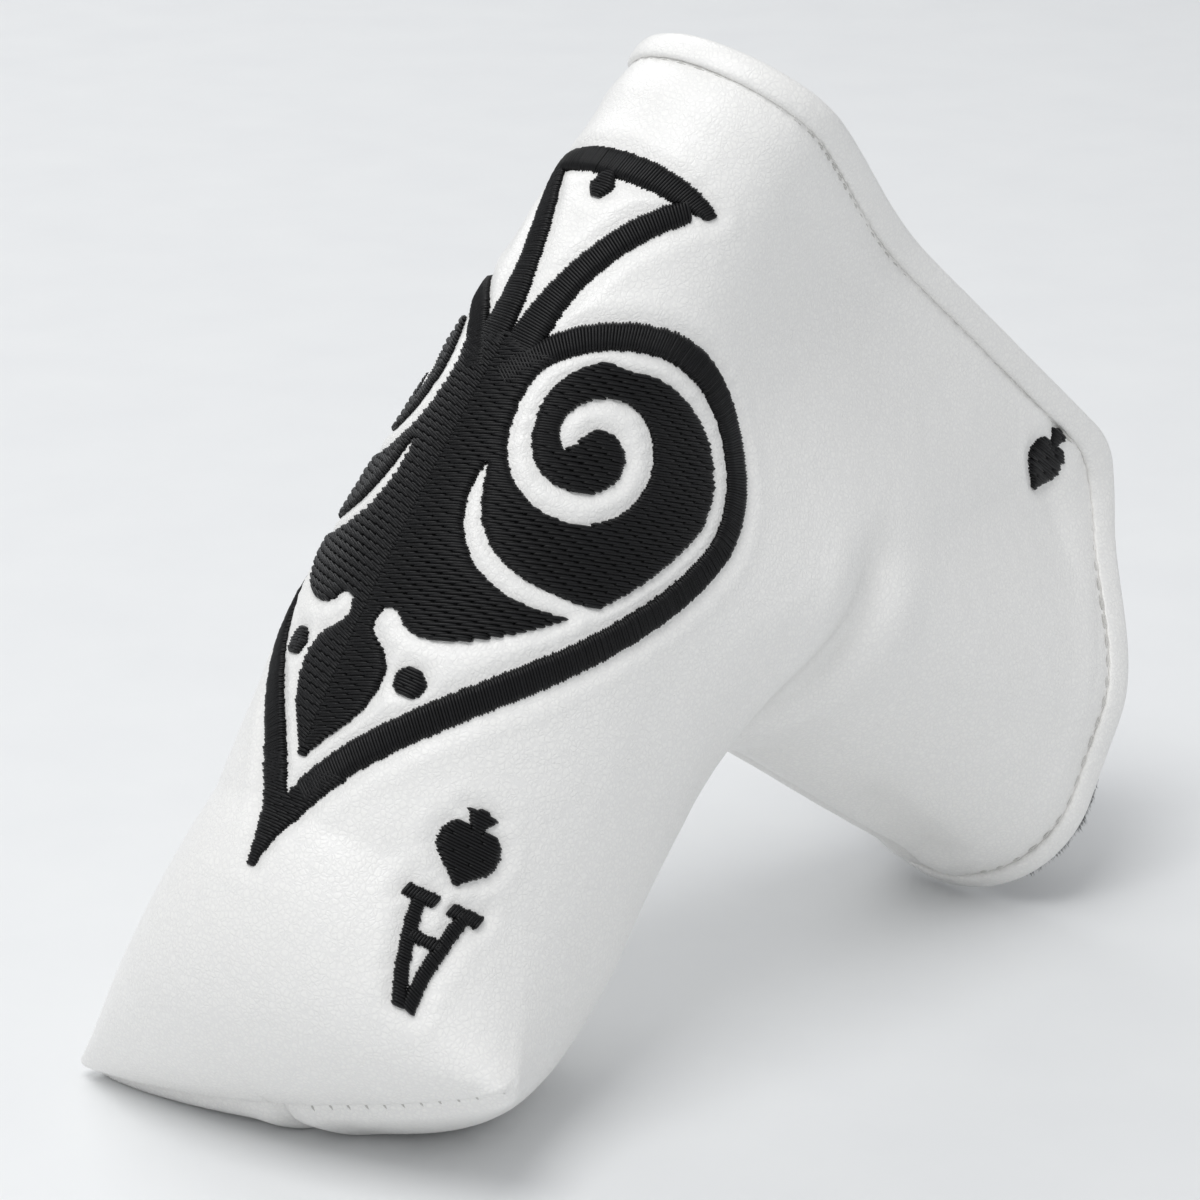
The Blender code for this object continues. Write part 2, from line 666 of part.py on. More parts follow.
def rest_on_base(root):
    """Moves the whole cover so that its box stands on the origin."""
    bpy.context.view_layer.update()
    corners = [piece.matrix_world @ vertex.co for piece in bpy.data.objects
               if piece.type == "MESH" and not piece.hide_render for vertex in piece.data.vertices]
    low = [min(corner[i] for corner in corners) for i in range(3)]
    high = [max(corner[i] for corner in corners) for i in range(3)]
    root.location = (-(low[0] + high[0]) / 2, -(low[1] + high[1]) / 2, -low[2])


def main():
    """Builds the cover."""
    for old in list(bpy.data.objects):
        bpy.data.objects.remove(old)
    fold = Fold()
    pocket = Body("pocket", Vector((0.0, 0.0, 0.0)))
    bodies = {
        "pocket": pocket,
        "near_flap": Body("near_flap_hinge", fold.axis_point(-1), pocket),
        "far_flap": Body("far_flap_hinge", fold.axis_point(1), pocket),
    }
    add_layers(bodies, fold)
    add_bindings(bodies, fold)
    add_magnets(bodies)
    add_embroidery(bodies)
    rest_on_base(pocket.empty)


main()
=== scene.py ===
"""Looks of a blade putter head cover: pearl leather-look panels, black thread and plush.

The cover's own axes are the ones its CAD was drawn in: a runs along the sole from the toe to
the heel, b from the sole to the topline and y across, near side negative. A point of any
layer is named by its station (0 at the toe section, 1 at the edge binding), its share of the
way from the sole ridge to the underside seam, its inset below the skin and its side, -1 near
or 1 far. Embroidery is laid out on a chart of a and t, the way round from the sole ridge.
All sizes are in metres.
"""

import json
import logging
import math
from dataclasses import dataclass, field
from enum import Enum

import bpy
import numpy as np
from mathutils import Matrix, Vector, noise
from mathutils.kdtree import KDTree


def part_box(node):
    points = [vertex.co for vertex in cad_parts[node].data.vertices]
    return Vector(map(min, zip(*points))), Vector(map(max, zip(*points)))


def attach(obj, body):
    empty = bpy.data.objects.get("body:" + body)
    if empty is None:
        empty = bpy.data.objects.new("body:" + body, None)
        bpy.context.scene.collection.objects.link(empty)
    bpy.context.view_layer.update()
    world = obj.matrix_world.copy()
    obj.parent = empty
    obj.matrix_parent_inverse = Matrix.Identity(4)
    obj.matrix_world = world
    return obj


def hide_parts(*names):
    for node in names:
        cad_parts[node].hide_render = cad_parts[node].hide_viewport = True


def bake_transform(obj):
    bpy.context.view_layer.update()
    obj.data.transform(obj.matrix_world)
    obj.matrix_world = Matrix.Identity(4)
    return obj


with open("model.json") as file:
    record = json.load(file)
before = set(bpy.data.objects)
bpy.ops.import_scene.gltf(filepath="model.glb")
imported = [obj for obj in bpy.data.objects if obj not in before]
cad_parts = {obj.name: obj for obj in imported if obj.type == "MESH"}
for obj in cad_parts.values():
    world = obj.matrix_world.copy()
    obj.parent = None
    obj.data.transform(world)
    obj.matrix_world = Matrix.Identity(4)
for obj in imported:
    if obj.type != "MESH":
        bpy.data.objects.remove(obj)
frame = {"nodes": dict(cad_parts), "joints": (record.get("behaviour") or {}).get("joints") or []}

LOG = logging.getLogger("head_cover")
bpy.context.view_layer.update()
MM = 0.001
NEAR, FAR = -1, 1
SIDE_NAMES = {NEAR: "near", FAR: "far"}
BOTH_WAYS = ((1, 1), (-1, 1))            # a motif's right half and its mirror image


# --- Small helpers --------------------------------------------------------------------------

def smooth(low: float, high: float, x: np.ndarray) -> np.ndarray:
    """Rises from 0 at low to 1 at high without a corner.

    Args:
        low: where it leaves 0.
        high: where it reaches 1.
        x: one value or an array.

    Returns:
        The share for each value.
    """
    t = np.clip((np.asarray(x, dtype=float) - low) / (high - low), 0.0, 1.0)
    return t * t * (3 - 2 * t)


def mix(p: np.ndarray, q: np.ndarray, t: float) -> np.ndarray:
    """The point a share t of the way from p to q."""
    return p + (q - p) * t


def bell(x: np.ndarray, middle: float, width: float) -> np.ndarray:
    """A smooth hump, 1 at its middle, about two widths across on each side."""
    return np.exp(-((x - middle) / width) ** 2)


def unit(vectors: np.ndarray) -> np.ndarray:
    """The vectors at length 1."""
    return vectors / np.maximum(np.linalg.norm(vectors, axis=-1, keepdims=True), 1e-12)


def bunched(count: int) -> np.ndarray:
    """Shares from 0 to 1 that crowd towards both ends."""
    return (1 - np.cos(np.linspace(0, math.pi, count))) / 2


def run_length(points: np.ndarray, axis: int) -> np.ndarray:
    """Distance travelled along one axis of a grid of points, from 0.

    Args:
        points: grid of points, its last axis x, y, z.
        axis: the grid axis to travel along.

    Returns:
        One distance per point.
    """
    steps = np.linalg.norm(np.diff(points, axis=axis), axis=-1)
    start = np.zeros_like(np.take(steps, [0], axis=axis))
    return np.concatenate((start, np.cumsum(steps, axis=axis)), axis=axis)


def resampled(path: np.ndarray, pitch: float) -> np.ndarray:
    """A polyline's points at an even pitch.

    Args:
        path: its corners, one row each.
        pitch: distance between the new points.

    Returns:
        The new points, the first and last corner among them.
    """
    along = run_length(path, 0)
    count = max(int(round(along[-1] / pitch)), 2)
    at = np.linspace(0, along[-1], count + 1)
    return np.column_stack([np.interp(at, along, path[:, i]) for i in range(path.shape[1])])


def noise_at(points: np.ndarray, size: float, seed: float) -> np.ndarray:
    """Smooth noise of one grain size at each point of a grid.

    Args:
        points: grid of points.
        size: grain size in metres.
        seed: shifts the pattern.

    Returns:
        Values from about -1 to 1 in the grid's shape.
    """
    flat = points.reshape(-1, 3) / size + seed
    values = np.fromiter((noise.noise(Vector(p)) for p in flat), float, len(flat))
    return values.reshape(points.shape[:-1])


# --- Materials ------------------------------------------------------------------------------

def linear(code: str) -> tuple[float, float, float, float]:
    """A linear colour from an sRGB hex code.

    Args:
        code: six hex digits after a hash.

    Returns:
        Red, green, blue and an alpha of 1.
    """
    values = [int(code[i:i + 2], 16) / 255 for i in (1, 3, 5)]
    return (*[v / 12.92 if v <= 0.04045 else ((v + 0.055) / 1.055) ** 2.4 for v in values], 1.0)


def add_node(tree: bpy.types.NodeTree, kind: str, inputs: dict | None = None,
             **settings: object) -> bpy.types.Node:
    """Adds a node with its settings and links.

    Args:
        tree: the material's node tree.
        kind: Blender's node type.
        inputs: by socket name or index, a number or colour, or the output it is fed from.
        settings: the node's own properties.

    Returns:
        The node.
    """
    made = tree.nodes.new(kind)
    for name, value in settings.items():
        setattr(made, name, value)
    for name, value in (inputs or {}).items():
        if isinstance(value, bpy.types.NodeSocket):
            tree.links.new(value, made.inputs[name])
        else:
            made.inputs[name].default_value = value
    return made


def fresh_material(name: str, shader: dict) -> tuple[bpy.types.NodeTree, bpy.types.Node,
                                                     bpy.types.Material]:
    """A material with one Principled shader and its constant sockets set.

    Args:
        name: the material's name.
        shader: constant values by socket name.

    Returns:
        Its tree, the shader and the material.
    """
    made = bpy.data.materials.new(name)
    made.use_nodes = True
    tree = made.node_tree
    principled = tree.nodes["Principled BSDF"]
    for socket, value in shader.items():
        principled.inputs[socket].default_value = value
    return tree, principled, made


def dress(tree: bpy.types.NodeTree, shader: bpy.types.Node, pattern: bpy.types.NodeSocket,
          share: bpy.types.NodeSocket, tones: tuple[str, str], rough: tuple[float, float],
          bump: tuple[float, float]) -> None:
    """Gives a shader its colour, roughness and relief from one pattern.

    Args:
        tree: the material's node tree.
        shader: its Principled shader.
        pattern: output that sets the roughness and the relief.
        share: output that mixes the two tones.
        tones: sRGB codes at 0 and 1.
        rough: roughness at 0 and 1.
        bump: the relief's strength and its depth in metres.
    """
    colour = add_node(tree, "ShaderNodeMix", {
        "Factor": share, "A": linear(tones[0]), "B": linear(tones[1])}, data_type="RGBA")
    dullness = add_node(tree, "ShaderNodeMapRange", {
        "Value": pattern, "To Min": rough[0], "To Max": rough[1]})
    relief = add_node(tree, "ShaderNodeBump", {
        "Height": pattern, "Strength": bump[0], "Distance": bump[1]})
    tree.links.new(colour.outputs["Result"], shader.inputs["Base Color"])
    tree.links.new(dullness.outputs["Result"], shader.inputs["Roughness"])
    tree.links.new(relief.outputs["Normal"], shader.inputs["Normal"])


@dataclass(frozen=True)
class PearlLeather:
    """Polyurethane leather cloth, cast on embossed release paper and lacquered with pearl.

    The paper gives it low irregular pebbles with fine creases between them, and the lacquer a
    broad soft gloss that breaks up on the pebbles.
    """

    name: str = "pearl_pu_leather_embossed"
    face: str = "#f6f5f2"
    # painted shade: the creases between the pebbles are coloured a little darker than the
    # pebbles' tops
    crease: str = "#f0efed"
    # painted shade and scuffing: the darker tone that the per-vertex mask mixes in, as painted
    # shade in the panel's hollows and the binding's tuck, and as scuffing on the binding's rim
    shade_scuff_tone: str = "#e6e5e2"
    pebble: float = 0.74 * MM            # middle to middle of two pebbles
    ripple: float = 4.2 * MM             # soft unevenness of the cloth over its foam
    fibre: float = 0.32 * MM             # the finest creases, drawn no finer so that they show
    relief: float = 0.085 * MM           # depth of a crease

    def make(self) -> bpy.types.Material:
        """The material."""
        tree, shader, made = fresh_material(self.name, {
            "IOR": 1.50, "Specular IOR Level": 0.5, "Coat Weight": 0.16, "Coat Roughness": 0.30,
            "Sheen Weight": 0.06, "Sheen Roughness": 0.4})
        place = add_node(tree, "ShaderNodeTexCoord").outputs["Object"]
        warp = add_node(tree, "ShaderNodeTexNoise", {
            "Vector": place, "Scale": 1 / (2.4 * self.pebble), "Detail": 3.0})
        moved = add_node(tree, "ShaderNodeVectorMath", {
            0: warp.outputs["Color"], "Scale": 1.5 * self.pebble}, operation="SCALE")
        bent = add_node(tree, "ShaderNodeVectorMath", {
            0: place, 1: moved.outputs["Vector"]}, operation="ADD").outputs["Vector"]
        cells = add_node(tree, "ShaderNodeTexVoronoi", {
            "Vector": bent, "Scale": 1 / self.pebble}, feature="DISTANCE_TO_EDGE")
        pebbles = add_node(tree, "ShaderNodeMapRange", {
            "Value": cells.outputs["Distance"], "From Max": 0.26},
            interpolation_type="SMOOTHSTEP").outputs["Result"]
        fibres = add_node(tree, "ShaderNodeTexNoise", {
            "Vector": bent, "Scale": 1 / self.fibre, "Detail": 2.0}).outputs["Fac"]
        ripples = add_node(tree, "ShaderNodeTexNoise", {
            "Vector": place, "Scale": 1 / self.ripple, "Detail": 4.0,
            "Roughness": 0.62}).outputs["Fac"]
        fine = add_node(tree, "ShaderNodeBump", {
            "Height": fibres, "Strength": 0.22, "Distance": self.relief})
        grain = add_node(tree, "ShaderNodeBump", {
            "Height": pebbles, "Strength": 0.40, "Distance": self.relief,
            "Normal": fine.outputs["Normal"]})
        waves = add_node(tree, "ShaderNodeBump", {
            "Height": ripples, "Strength": 0.55, "Distance": 0.45 * MM,
            "Normal": grain.outputs["Normal"]})
        # painted shade and scuffing: the per-vertex mask, broken up by the ripples, that darkens
        # hollows and joins as painted shade and the binding's rim as scuffing
        shade_scuff_mask = add_node(tree, "ShaderNodeAttribute", attribute_name="shade_and_scuff").outputs["Fac"]
        # painted shade in the pebble creases: darker where the cells' edges meet
        face = add_node(tree, "ShaderNodeMix", {
            "Factor": pebbles, "A": linear(self.crease), "B": linear(self.face)},
            data_type="RGBA")
        patchy = add_node(tree, "ShaderNodeMath", {0: shade_scuff_mask, 1: ripples}, operation="MULTIPLY")
        colour = add_node(tree, "ShaderNodeMix", {
            "Factor": patchy.outputs["Value"], "A": face.outputs["Result"],
            "B": linear(self.shade_scuff_tone)}, data_type="RGBA")
        gloss = add_node(tree, "ShaderNodeMapRange", {
            "Value": ripples, "From Min": 0.3, "From Max": 0.7, "To Min": 0.34, "To Max": 0.46})
        tree.links.new(colour.outputs["Result"], shader.inputs["Base Color"])
        tree.links.new(gloss.outputs["Result"], shader.inputs["Roughness"])
        tree.links.new(waves.outputs["Normal"], shader.inputs["Normal"])
        return made


@dataclass(frozen=True)
class SpunThread:
    """Twisted filament thread, wound and waxed.

    Its filaments give each stitch a soft streak of light along it, and no two stitches the
    same tone.
    """

    name: str
    dark: str
    light: str
    twist: float = 0.12 * MM             # one filament, drawn coarse enough to break the light
    roughness: float = 0.46
    sheen: float = 0.25

    def make(self) -> bpy.types.Material:
        """The material."""
        tree, shader, made = fresh_material(self.name, {
            "IOR": 1.54, "Specular IOR Level": 0.28, "Sheen Weight": self.sheen,
            "Sheen Roughness": 0.35})
        place = add_node(tree, "ShaderNodeTexCoord").outputs["Object"]
        filaments = add_node(tree, "ShaderNodeTexNoise", {
            "Vector": place, "Scale": 1 / self.twist, "Detail": 2.0}).outputs["Fac"]
        tone = add_node(tree, "ShaderNodeAttribute", attribute_name="tone").outputs["Fac"]
        both = add_node(tree, "ShaderNodeMath", {0: tone, 1: filaments}, operation="MULTIPLY")
        dress(tree, shader, filaments, both.outputs["Value"], (self.dark, self.light),
              (self.roughness - 0.1, self.roughness + 0.1), (0.35, 0.05 * MM))
        return made


@dataclass(frozen=True)
class Plush:
    """Knitted polyester plush, sheared.

    The cut pile drinks the light face on and shows a dim rim where it turns away.
    """

    name: str = "black_polyester_plush_sheared"
    dark: str = "#050506"
    light: str = "#131317"
    tuft: float = 1.3 * MM

    def make(self) -> bpy.types.Material:
        """The material."""
        tree, shader, made = fresh_material(self.name, {
            "IOR": 1.5, "Specular IOR Level": 0.15, "Sheen Weight": 0.12,
            "Sheen Roughness": 0.5})
        place = add_node(tree, "ShaderNodeTexCoord").outputs["Object"]
        tufts = add_node(tree, "ShaderNodeTexNoise", {
            "Vector": place, "Scale": 1 / self.tuft, "Detail": 5.0,
            "Roughness": 0.7}).outputs["Fac"]
        dress(tree, shader, tufts, tufts, (self.dark, self.light), (0.85, 1.0), (0.8, 0.5 * MM))
        return made


@dataclass(frozen=True)
class OpenCellFoam:
    """Polyurethane foam sheet, slabstock cut.

    Cutting opens the cells, so it is dull, with small pores whose shade is painted as a darker
    tone.
    """

    name: str = "pu_foam_open_cell_cut"
    wall: str = "#e4dfcc"
    # painted shade: the tone at the middle of each cut cell, where the pore's hollow lies in
    # shade
    pore: str = "#a49c84"
    cell: float = 0.6 * MM

    def make(self) -> bpy.types.Material:
        """The material."""
        tree, shader, made = fresh_material(self.name, {"IOR": 1.45, "Specular IOR Level": 0.2})
        place = add_node(tree, "ShaderNodeTexCoord").outputs["Object"]
        cells = add_node(tree, "ShaderNodeTexVoronoi", {
            "Vector": place, "Scale": 1 / self.cell}).outputs["Distance"]
        dress(tree, shader, cells, cells, (self.pore, self.wall), (0.85, 1.0), (0.7, 0.2 * MM))
        return made


@dataclass(frozen=True)
class PlatedNickel:
    """Sintered magnet, tumbled and nickel plated.

    Tumbling leaves a fine orange peel under a bright warm grey metal.
    """

    name: str = "nickel_plated_tumbled"
    bright: str = "#b9b6ae"
    dull: str = "#8f8c85"
    peel: float = 0.25 * MM

    def make(self) -> bpy.types.Material:
        """The material."""
        tree, shader, made = fresh_material(self.name, {"Metallic": 1.0})
        place = add_node(tree, "ShaderNodeTexCoord").outputs["Object"]
        peel = add_node(tree, "ShaderNodeTexNoise", {
            "Vector": place, "Scale": 1 / self.peel, "Detail": 3.0}).outputs["Fac"]
        dress(tree, shader, peel, peel, (self.dull, self.bright), (0.22, 0.38),
              (0.2, 0.02 * MM))
        return made


@dataclass(frozen=True)
class PaperSweep:
    """Seamless background paper, machine finished: dead matt with a faint fibre mottle."""

    name: str = "background_paper_matt"
    pale: str = "#eceded"
    shade: str = "#e6e7e8"

    def make(self) -> bpy.types.Material:
        """The material."""
        tree, shader, made = fresh_material(self.name, {
            "Specular IOR Level": 0.15, "Roughness": 0.9})
        place = add_node(tree, "ShaderNodeTexCoord").outputs["Object"]
        mottle = add_node(tree, "ShaderNodeTexNoise", {
            "Vector": place, "Scale": 40.0, "Detail": 4.0}).outputs["Fac"]
        colour = add_node(tree, "ShaderNodeMix", {
            "Factor": mottle, "A": linear(self.shade), "B": linear(self.pale)},
            data_type="RGBA")
        tree.links.new(colour.outputs["Result"], shader.inputs["Base Color"])
        return made


class Slot(Enum):
    """The record's material slots, named for the new pieces but not given to them."""

    PANEL = "panel"
    FOAM = "foam"
    LINING = "lining"
    BINDING = "binding"
    THREAD = "thread"


class Finishes:
    """Every finish of the cover, made once."""

    def __init__(self) -> None:
        """Makes the materials."""
        self.leather = PearlLeather().make()
        self.black_thread = SpunThread("black_rayon_thread_spun", "#010102", "#101013",
                                       sheen=0.03).make()
        self.white_thread = SpunThread("white_polyester_thread_spun", "#b9b8b4", "#e8e7e3",
                                       sheen=0.1).make()
        self.plush = Plush().make()
        self.foam = OpenCellFoam().make()
        self.nickel = PlatedNickel().make()
        self.paper = PaperSweep().make()


# --- Mesh pieces ----------------------------------------------------------------------------

def mesh_piece(name: str, points: np.ndarray, faces: np.ndarray | list,
               finish: bpy.types.Material, normals: np.ndarray | None = None,
               values: dict[str, np.ndarray] | None = None) -> bpy.types.Object:
    """An object from points and faces, without the points that no face uses.

    Args:
        name: the piece's name.
        points: one row per vertex.
        faces: vertex numbers of each face.
        finish: its material.
        normals: a shading normal per vertex, where two pieces meet without a line.
        values: named numbers per vertex, for the material.

    Returns:
        The object, linked to the scene.
    """
    used, flat = np.unique(np.concatenate(list(faces)), return_inverse=True)
    stops = np.cumsum([len(face) for face in faces])
    mesh = bpy.data.meshes.new(name)
    mesh.from_pydata(points[used].tolist(), [],
                     [flat[stop - len(face):stop].tolist() for face, stop in zip(faces, stops)])
    mesh.shade_smooth()
    for key, numbers in (values or {}).items():
        layer = mesh.attributes.new(key, "FLOAT", "POINT")
        layer.data.foreach_set("value", numbers[used].astype(np.float32))
    mesh.validate()
    if normals is not None:
        mesh.normals_split_custom_set_from_vertices(unit(normals[used]).tolist())
    mesh.materials.append(finish)
    made = bpy.data.objects.new(name, mesh)
    bpy.context.scene.collection.objects.link(made)
    return made


def grid_faces(index: np.ndarray) -> np.ndarray:
    """Quads of a grid of vertex numbers."""
    return np.stack((index[:-1, :-1], index[:-1, 1:], index[1:, 1:], index[1:, :-1]),
                    axis=-1).reshape(-1, 4)


def tubes(centres: np.ndarray, sideways: np.ndarray, upward: np.ndarray,
          first: int = 0) -> tuple[np.ndarray, np.ndarray]:
    """Closed tubes of a diamond section round many short paths of the same length.

    Args:
        centres: paths, steps, xyz.
        sideways: half the width at each step, as a vector.
        upward: half the height at each step, as a vector.
        first: number of the first vertex.

    Returns:
        The points and the quads.
    """
    count, steps = centres.shape[:2]
    ring = np.stack((centres + sideways, centres + upward, centres - sideways,
                     centres - upward), axis=2)
    index = first + np.arange(count * steps * 4).reshape(count, steps, 4)
    turned = np.roll(index, -1, axis=2)
    walls = np.stack((index[:, :-1], turned[:, :-1], turned[:, 1:], index[:, 1:]),
                     axis=-1).reshape(-1, 4)
    caps = np.concatenate((index[:, 0, ::-1], index[:, -1]))
    return ring.reshape(-1, 3), np.concatenate((walls, caps))


# --- The cover's shape ----------------------------------------------------------------------

@dataclass(frozen=True)
class CoverShape:
    """The surfaces that every layer follows, by the same rules as the CAD."""

    tilt: float = math.radians(54.5)
    sole_length: float = 116.6 * MM
    sole_bow: float = 5.2 * MM
    sole_bow_at: float = 30.5 * MM
    sole_radius: float = 312.0 * MM
    blade_depth: float = 58.5 * MM
    blade_half_width: float = 27.2 * MM
    head_half_width: float = 24.0 * MM
    toe_length: float = 34.0 * MM
    toe_seam_half: float = 36.0 * MM
    toe_seam_b: float = 21.0 * MM
    toe_seam_skew: float = 10.0 * MM
    toe_seam_arch: float = 3.2 * MM
    toe_bulge: float = 3.0 * MM
    toe_taper: float = 2.8
    neck_inner_a: float = 37.5 * MM
    neck_end_b: float = 132.0 * MM
    crotch_radius: float = 14.0 * MM
    corner: tuple[float, float] = (106.5 * MM, 123.5 * MM)
    corner_cut: float = 10.0 * MM
    slit_half_width: float = 4.6 * MM
    heel_half_width: float = 17.0 * MM
    shaft_half_width: float = 20.3 * MM
    end_round: float = 18.0 * MM
    band: float = 4.0 * MM
    band_proud: float = 0.2 * MM
    wall: float = 4.2 * MM
    fold_heel: tuple[float, float, float] = (115.0 * MM, 26.0 * MM, 0.0)
    fold_neck: tuple[float, float, float] = (52.0 * MM, 131.0 * MM, 0.0)
    settle: float = 1.1 * MM             # how softly the toe turns flat on the table

    @property
    def corner_share(self) -> float:
        """Share of the way round the mouth at which the slit's corner lies."""
        return self.corner[1] / (self.corner[1] + self.corner[0] - self.neck_inner_a)

    def sole_line(self, a: float) -> float:
        """b of the sole ridge, a shallow arc."""
        return -self.sole_bow + (a - self.sole_bow_at) ** 2 / (2 * self.sole_radius)

    def underside(self, station: float, inset: float) -> np.ndarray:
        """The seam under the blade, round the crotch and along the neck.

        Args:
            station: from 0 at the toe section to 1 at the binding.
            inset: depth below the skin.

        Returns:
            Its a and b.
        """
        run = self.neck_inner_a - self.crotch_radius
        turn = self.crotch_radius * math.pi / 2
        rise = self.neck_end_b - self.band - self.blade_depth - self.crotch_radius
        along = station * (run + turn + rise)
        if along < run:
            return np.array((along, self.blade_depth - inset))
        radius = self.crotch_radius + inset
        centre = np.array((run, self.blade_depth + self.crotch_radius))
        if along < run + turn:
            angle = (along - run) / self.crotch_radius
            return centre + radius * np.array((math.sin(angle), -math.cos(angle)))
        return np.array((run + radius, centre[1] + along - run - turn))

    def section(self, station: float, share: np.ndarray, inset: float,
                past: float) -> tuple[np.ndarray, float]:
        """A section's line from the ridge round its rounded corner to the underside.

        Args:
            station: which section.
            share: the shares wanted.
            inset: depth below the skin.
            past: how far on over the binding.

        Returns:
            a and b for each share, and the line's length.
        """
        a = station * (self.sole_length - self.band) + past
        start = np.array((a, self.sole_line(a) + inset))
        end = self.underside(station, inset) + (0.0, past)
        corner = np.array(self.corner) - self.band + past
        corner = mix((start + end) / 2, corner, station ** 1.4)
        first, last = corner - start, end - corner
        length_1, length_2 = np.linalg.norm(first), np.linalg.norm(last)
        cut = min(mix(0.5, self.corner_cut, station), 0.48 * length_1, 0.48 * length_2)
        leave = corner - first / length_1 * cut
        join = corner + last / length_2 * cut
        bend = 0.5 * (np.linalg.norm(join - leave) + 2 * cut)
        total = length_1 + length_2 - 2 * cut + bend
        along = (share * total)[:, None]
        t = np.clip((along - length_1 + cut) / bend, 0.0, 1.0)
        arc = (1 - t) ** 2 * leave + 2 * t * (1 - t) * corner + t * t * join
        before = mix(start, leave, along / (length_1 - cut))
        after = mix(join, end, (along - length_1 + cut - bend) / (length_2 - cut))
        points = np.where(along < length_1 - cut, before,
                          np.where(along < length_1 - cut + bend, arc, after))
        return points, total

    def half_width(self, station: float, share: np.ndarray, inset: float,
                   length: float) -> np.ndarray:
        """Distance of a layer from the middle plane.

        Args:
            station: which section.
            share: the shares wanted.
            inset: depth below the skin.
            length: the section line's length.

        Returns:
            One distance per share.
        """
        body = mix(self.blade_half_width, self.head_half_width, smooth(0.1, 0.8, station))
        heel = (self.heel_half_width - self.slit_half_width) * (1 - smooth(0.03, 0.32, share))
        shaft = ((self.shaft_half_width - self.slit_half_width)
                 * smooth(self.corner_share - 0.01, 0.83, share))
        mouth = self.slit_half_width + heel + shaft
        width = mix(body, mouth, smooth(0.30, 1.05, station)) - inset
        reach = mix(length / 2, self.end_round, smooth(0.0, 1.0, station)) / length
        for way in (share, 1 - share):
            near_end = 1 - np.minimum(way / reach, 1.0)
            width = width * np.sqrt(np.maximum(1 - near_end ** 2, 0))
        return width

    def body(self, station: float, share: np.ndarray, inset: float, side: int,
             past: float = 0.0) -> np.ndarray:
        """Points of the blade or neck in a, b, y.

        Args:
            station: which section.
            share: the shares wanted.
            inset: depth below the skin.
            side: near or far.
            past: how far on over the binding.

        Returns:
            One row per share.
        """
        line, length = self.section(station, share, inset, past)
        return np.column_stack((line, side * self.half_width(station, share, inset, length)))

    def toe(self, turn: float, share: np.ndarray, inset: float, side: int) -> np.ndarray:
        """Points of the toe, from the seam at turn 0 to the toe section at a quarter turn.

        Args:
            turn: angle round the toe.
            share: the shares wanted.
            inset: depth below the skin.
            side: near or far.

        Returns:
            a, b, y of each.
        """
        point = self.body(0.0, share, inset, side)
        flat = 2 * np.sqrt(np.maximum(share * (1 - share), 0.0))
        across = -side * flat
        seam_a = (-self.toe_length + self.toe_seam_skew * across
                  + self.toe_seam_arch * across ** 2 + self.toe_taper * inset)
        seam_y = side * flat * (self.toe_seam_half - self.toe_taper * inset)
        pull = math.cos(turn)
        under = np.maximum(2 * share - 1, 0.0)
        middle = (self.sole_line(0.0) + self.blade_depth) / 2
        return np.column_stack((
            seam_a * pull ** (1 - 0.40 * under) - self.toe_bulge * under * math.sin(2 * turn),
            middle + (point[:, 1] - middle) * math.sin(turn) + (self.toe_seam_b - middle) * pull,
            mix(point[:, 2], seam_y, pull ** 1.5)))

    def stood_up(self, points: np.ndarray) -> np.ndarray:
        """Points turned to the way the cover stands, before they are moved to the frame."""
        a, b, y = np.moveaxis(np.asarray(points, dtype=float), -1, 0)
        cos, sin = math.cos(self.tilt), math.sin(self.tilt)
        return np.stack((a * cos + b * sin, y, a * sin - b * cos), axis=-1)

    @property
    def shift(self) -> np.ndarray:
        """From the stood-up cover to the frame, read off the frame's own fold and table."""
        fold = self.stood_up((np.array(self.fold_heel) + self.fold_neck) / 2)
        table = self.stood_up((self.neck_inner_a - self.band_proud, self.neck_end_b, 0.0))
        return np.array((frame["joints"][0]["pos_m"][0] - fold[0], 0.0,
                         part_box("neck_binding")[0].z - table[2]))

    def placed(self, points: np.ndarray) -> np.ndarray:
        """Points of a, b, y in the frame."""
        return self.stood_up(points) + self.shift

    def to_frame(self, points: np.ndarray, inset: float = 0.0) -> np.ndarray:
        """Points of a layer in the frame, with the soft toe pressed flat on the table.

        Args:
            points: a, b, y in the last axis.
            inset: depth below the skin.

        Returns:
            x, y, z in the last axis.
        """
        placed = self.placed(points)
        above = placed[..., 2] - inset
        placed[..., 2] = inset + (above + np.sqrt(above ** 2 + self.settle ** 2)) / 2
        return placed


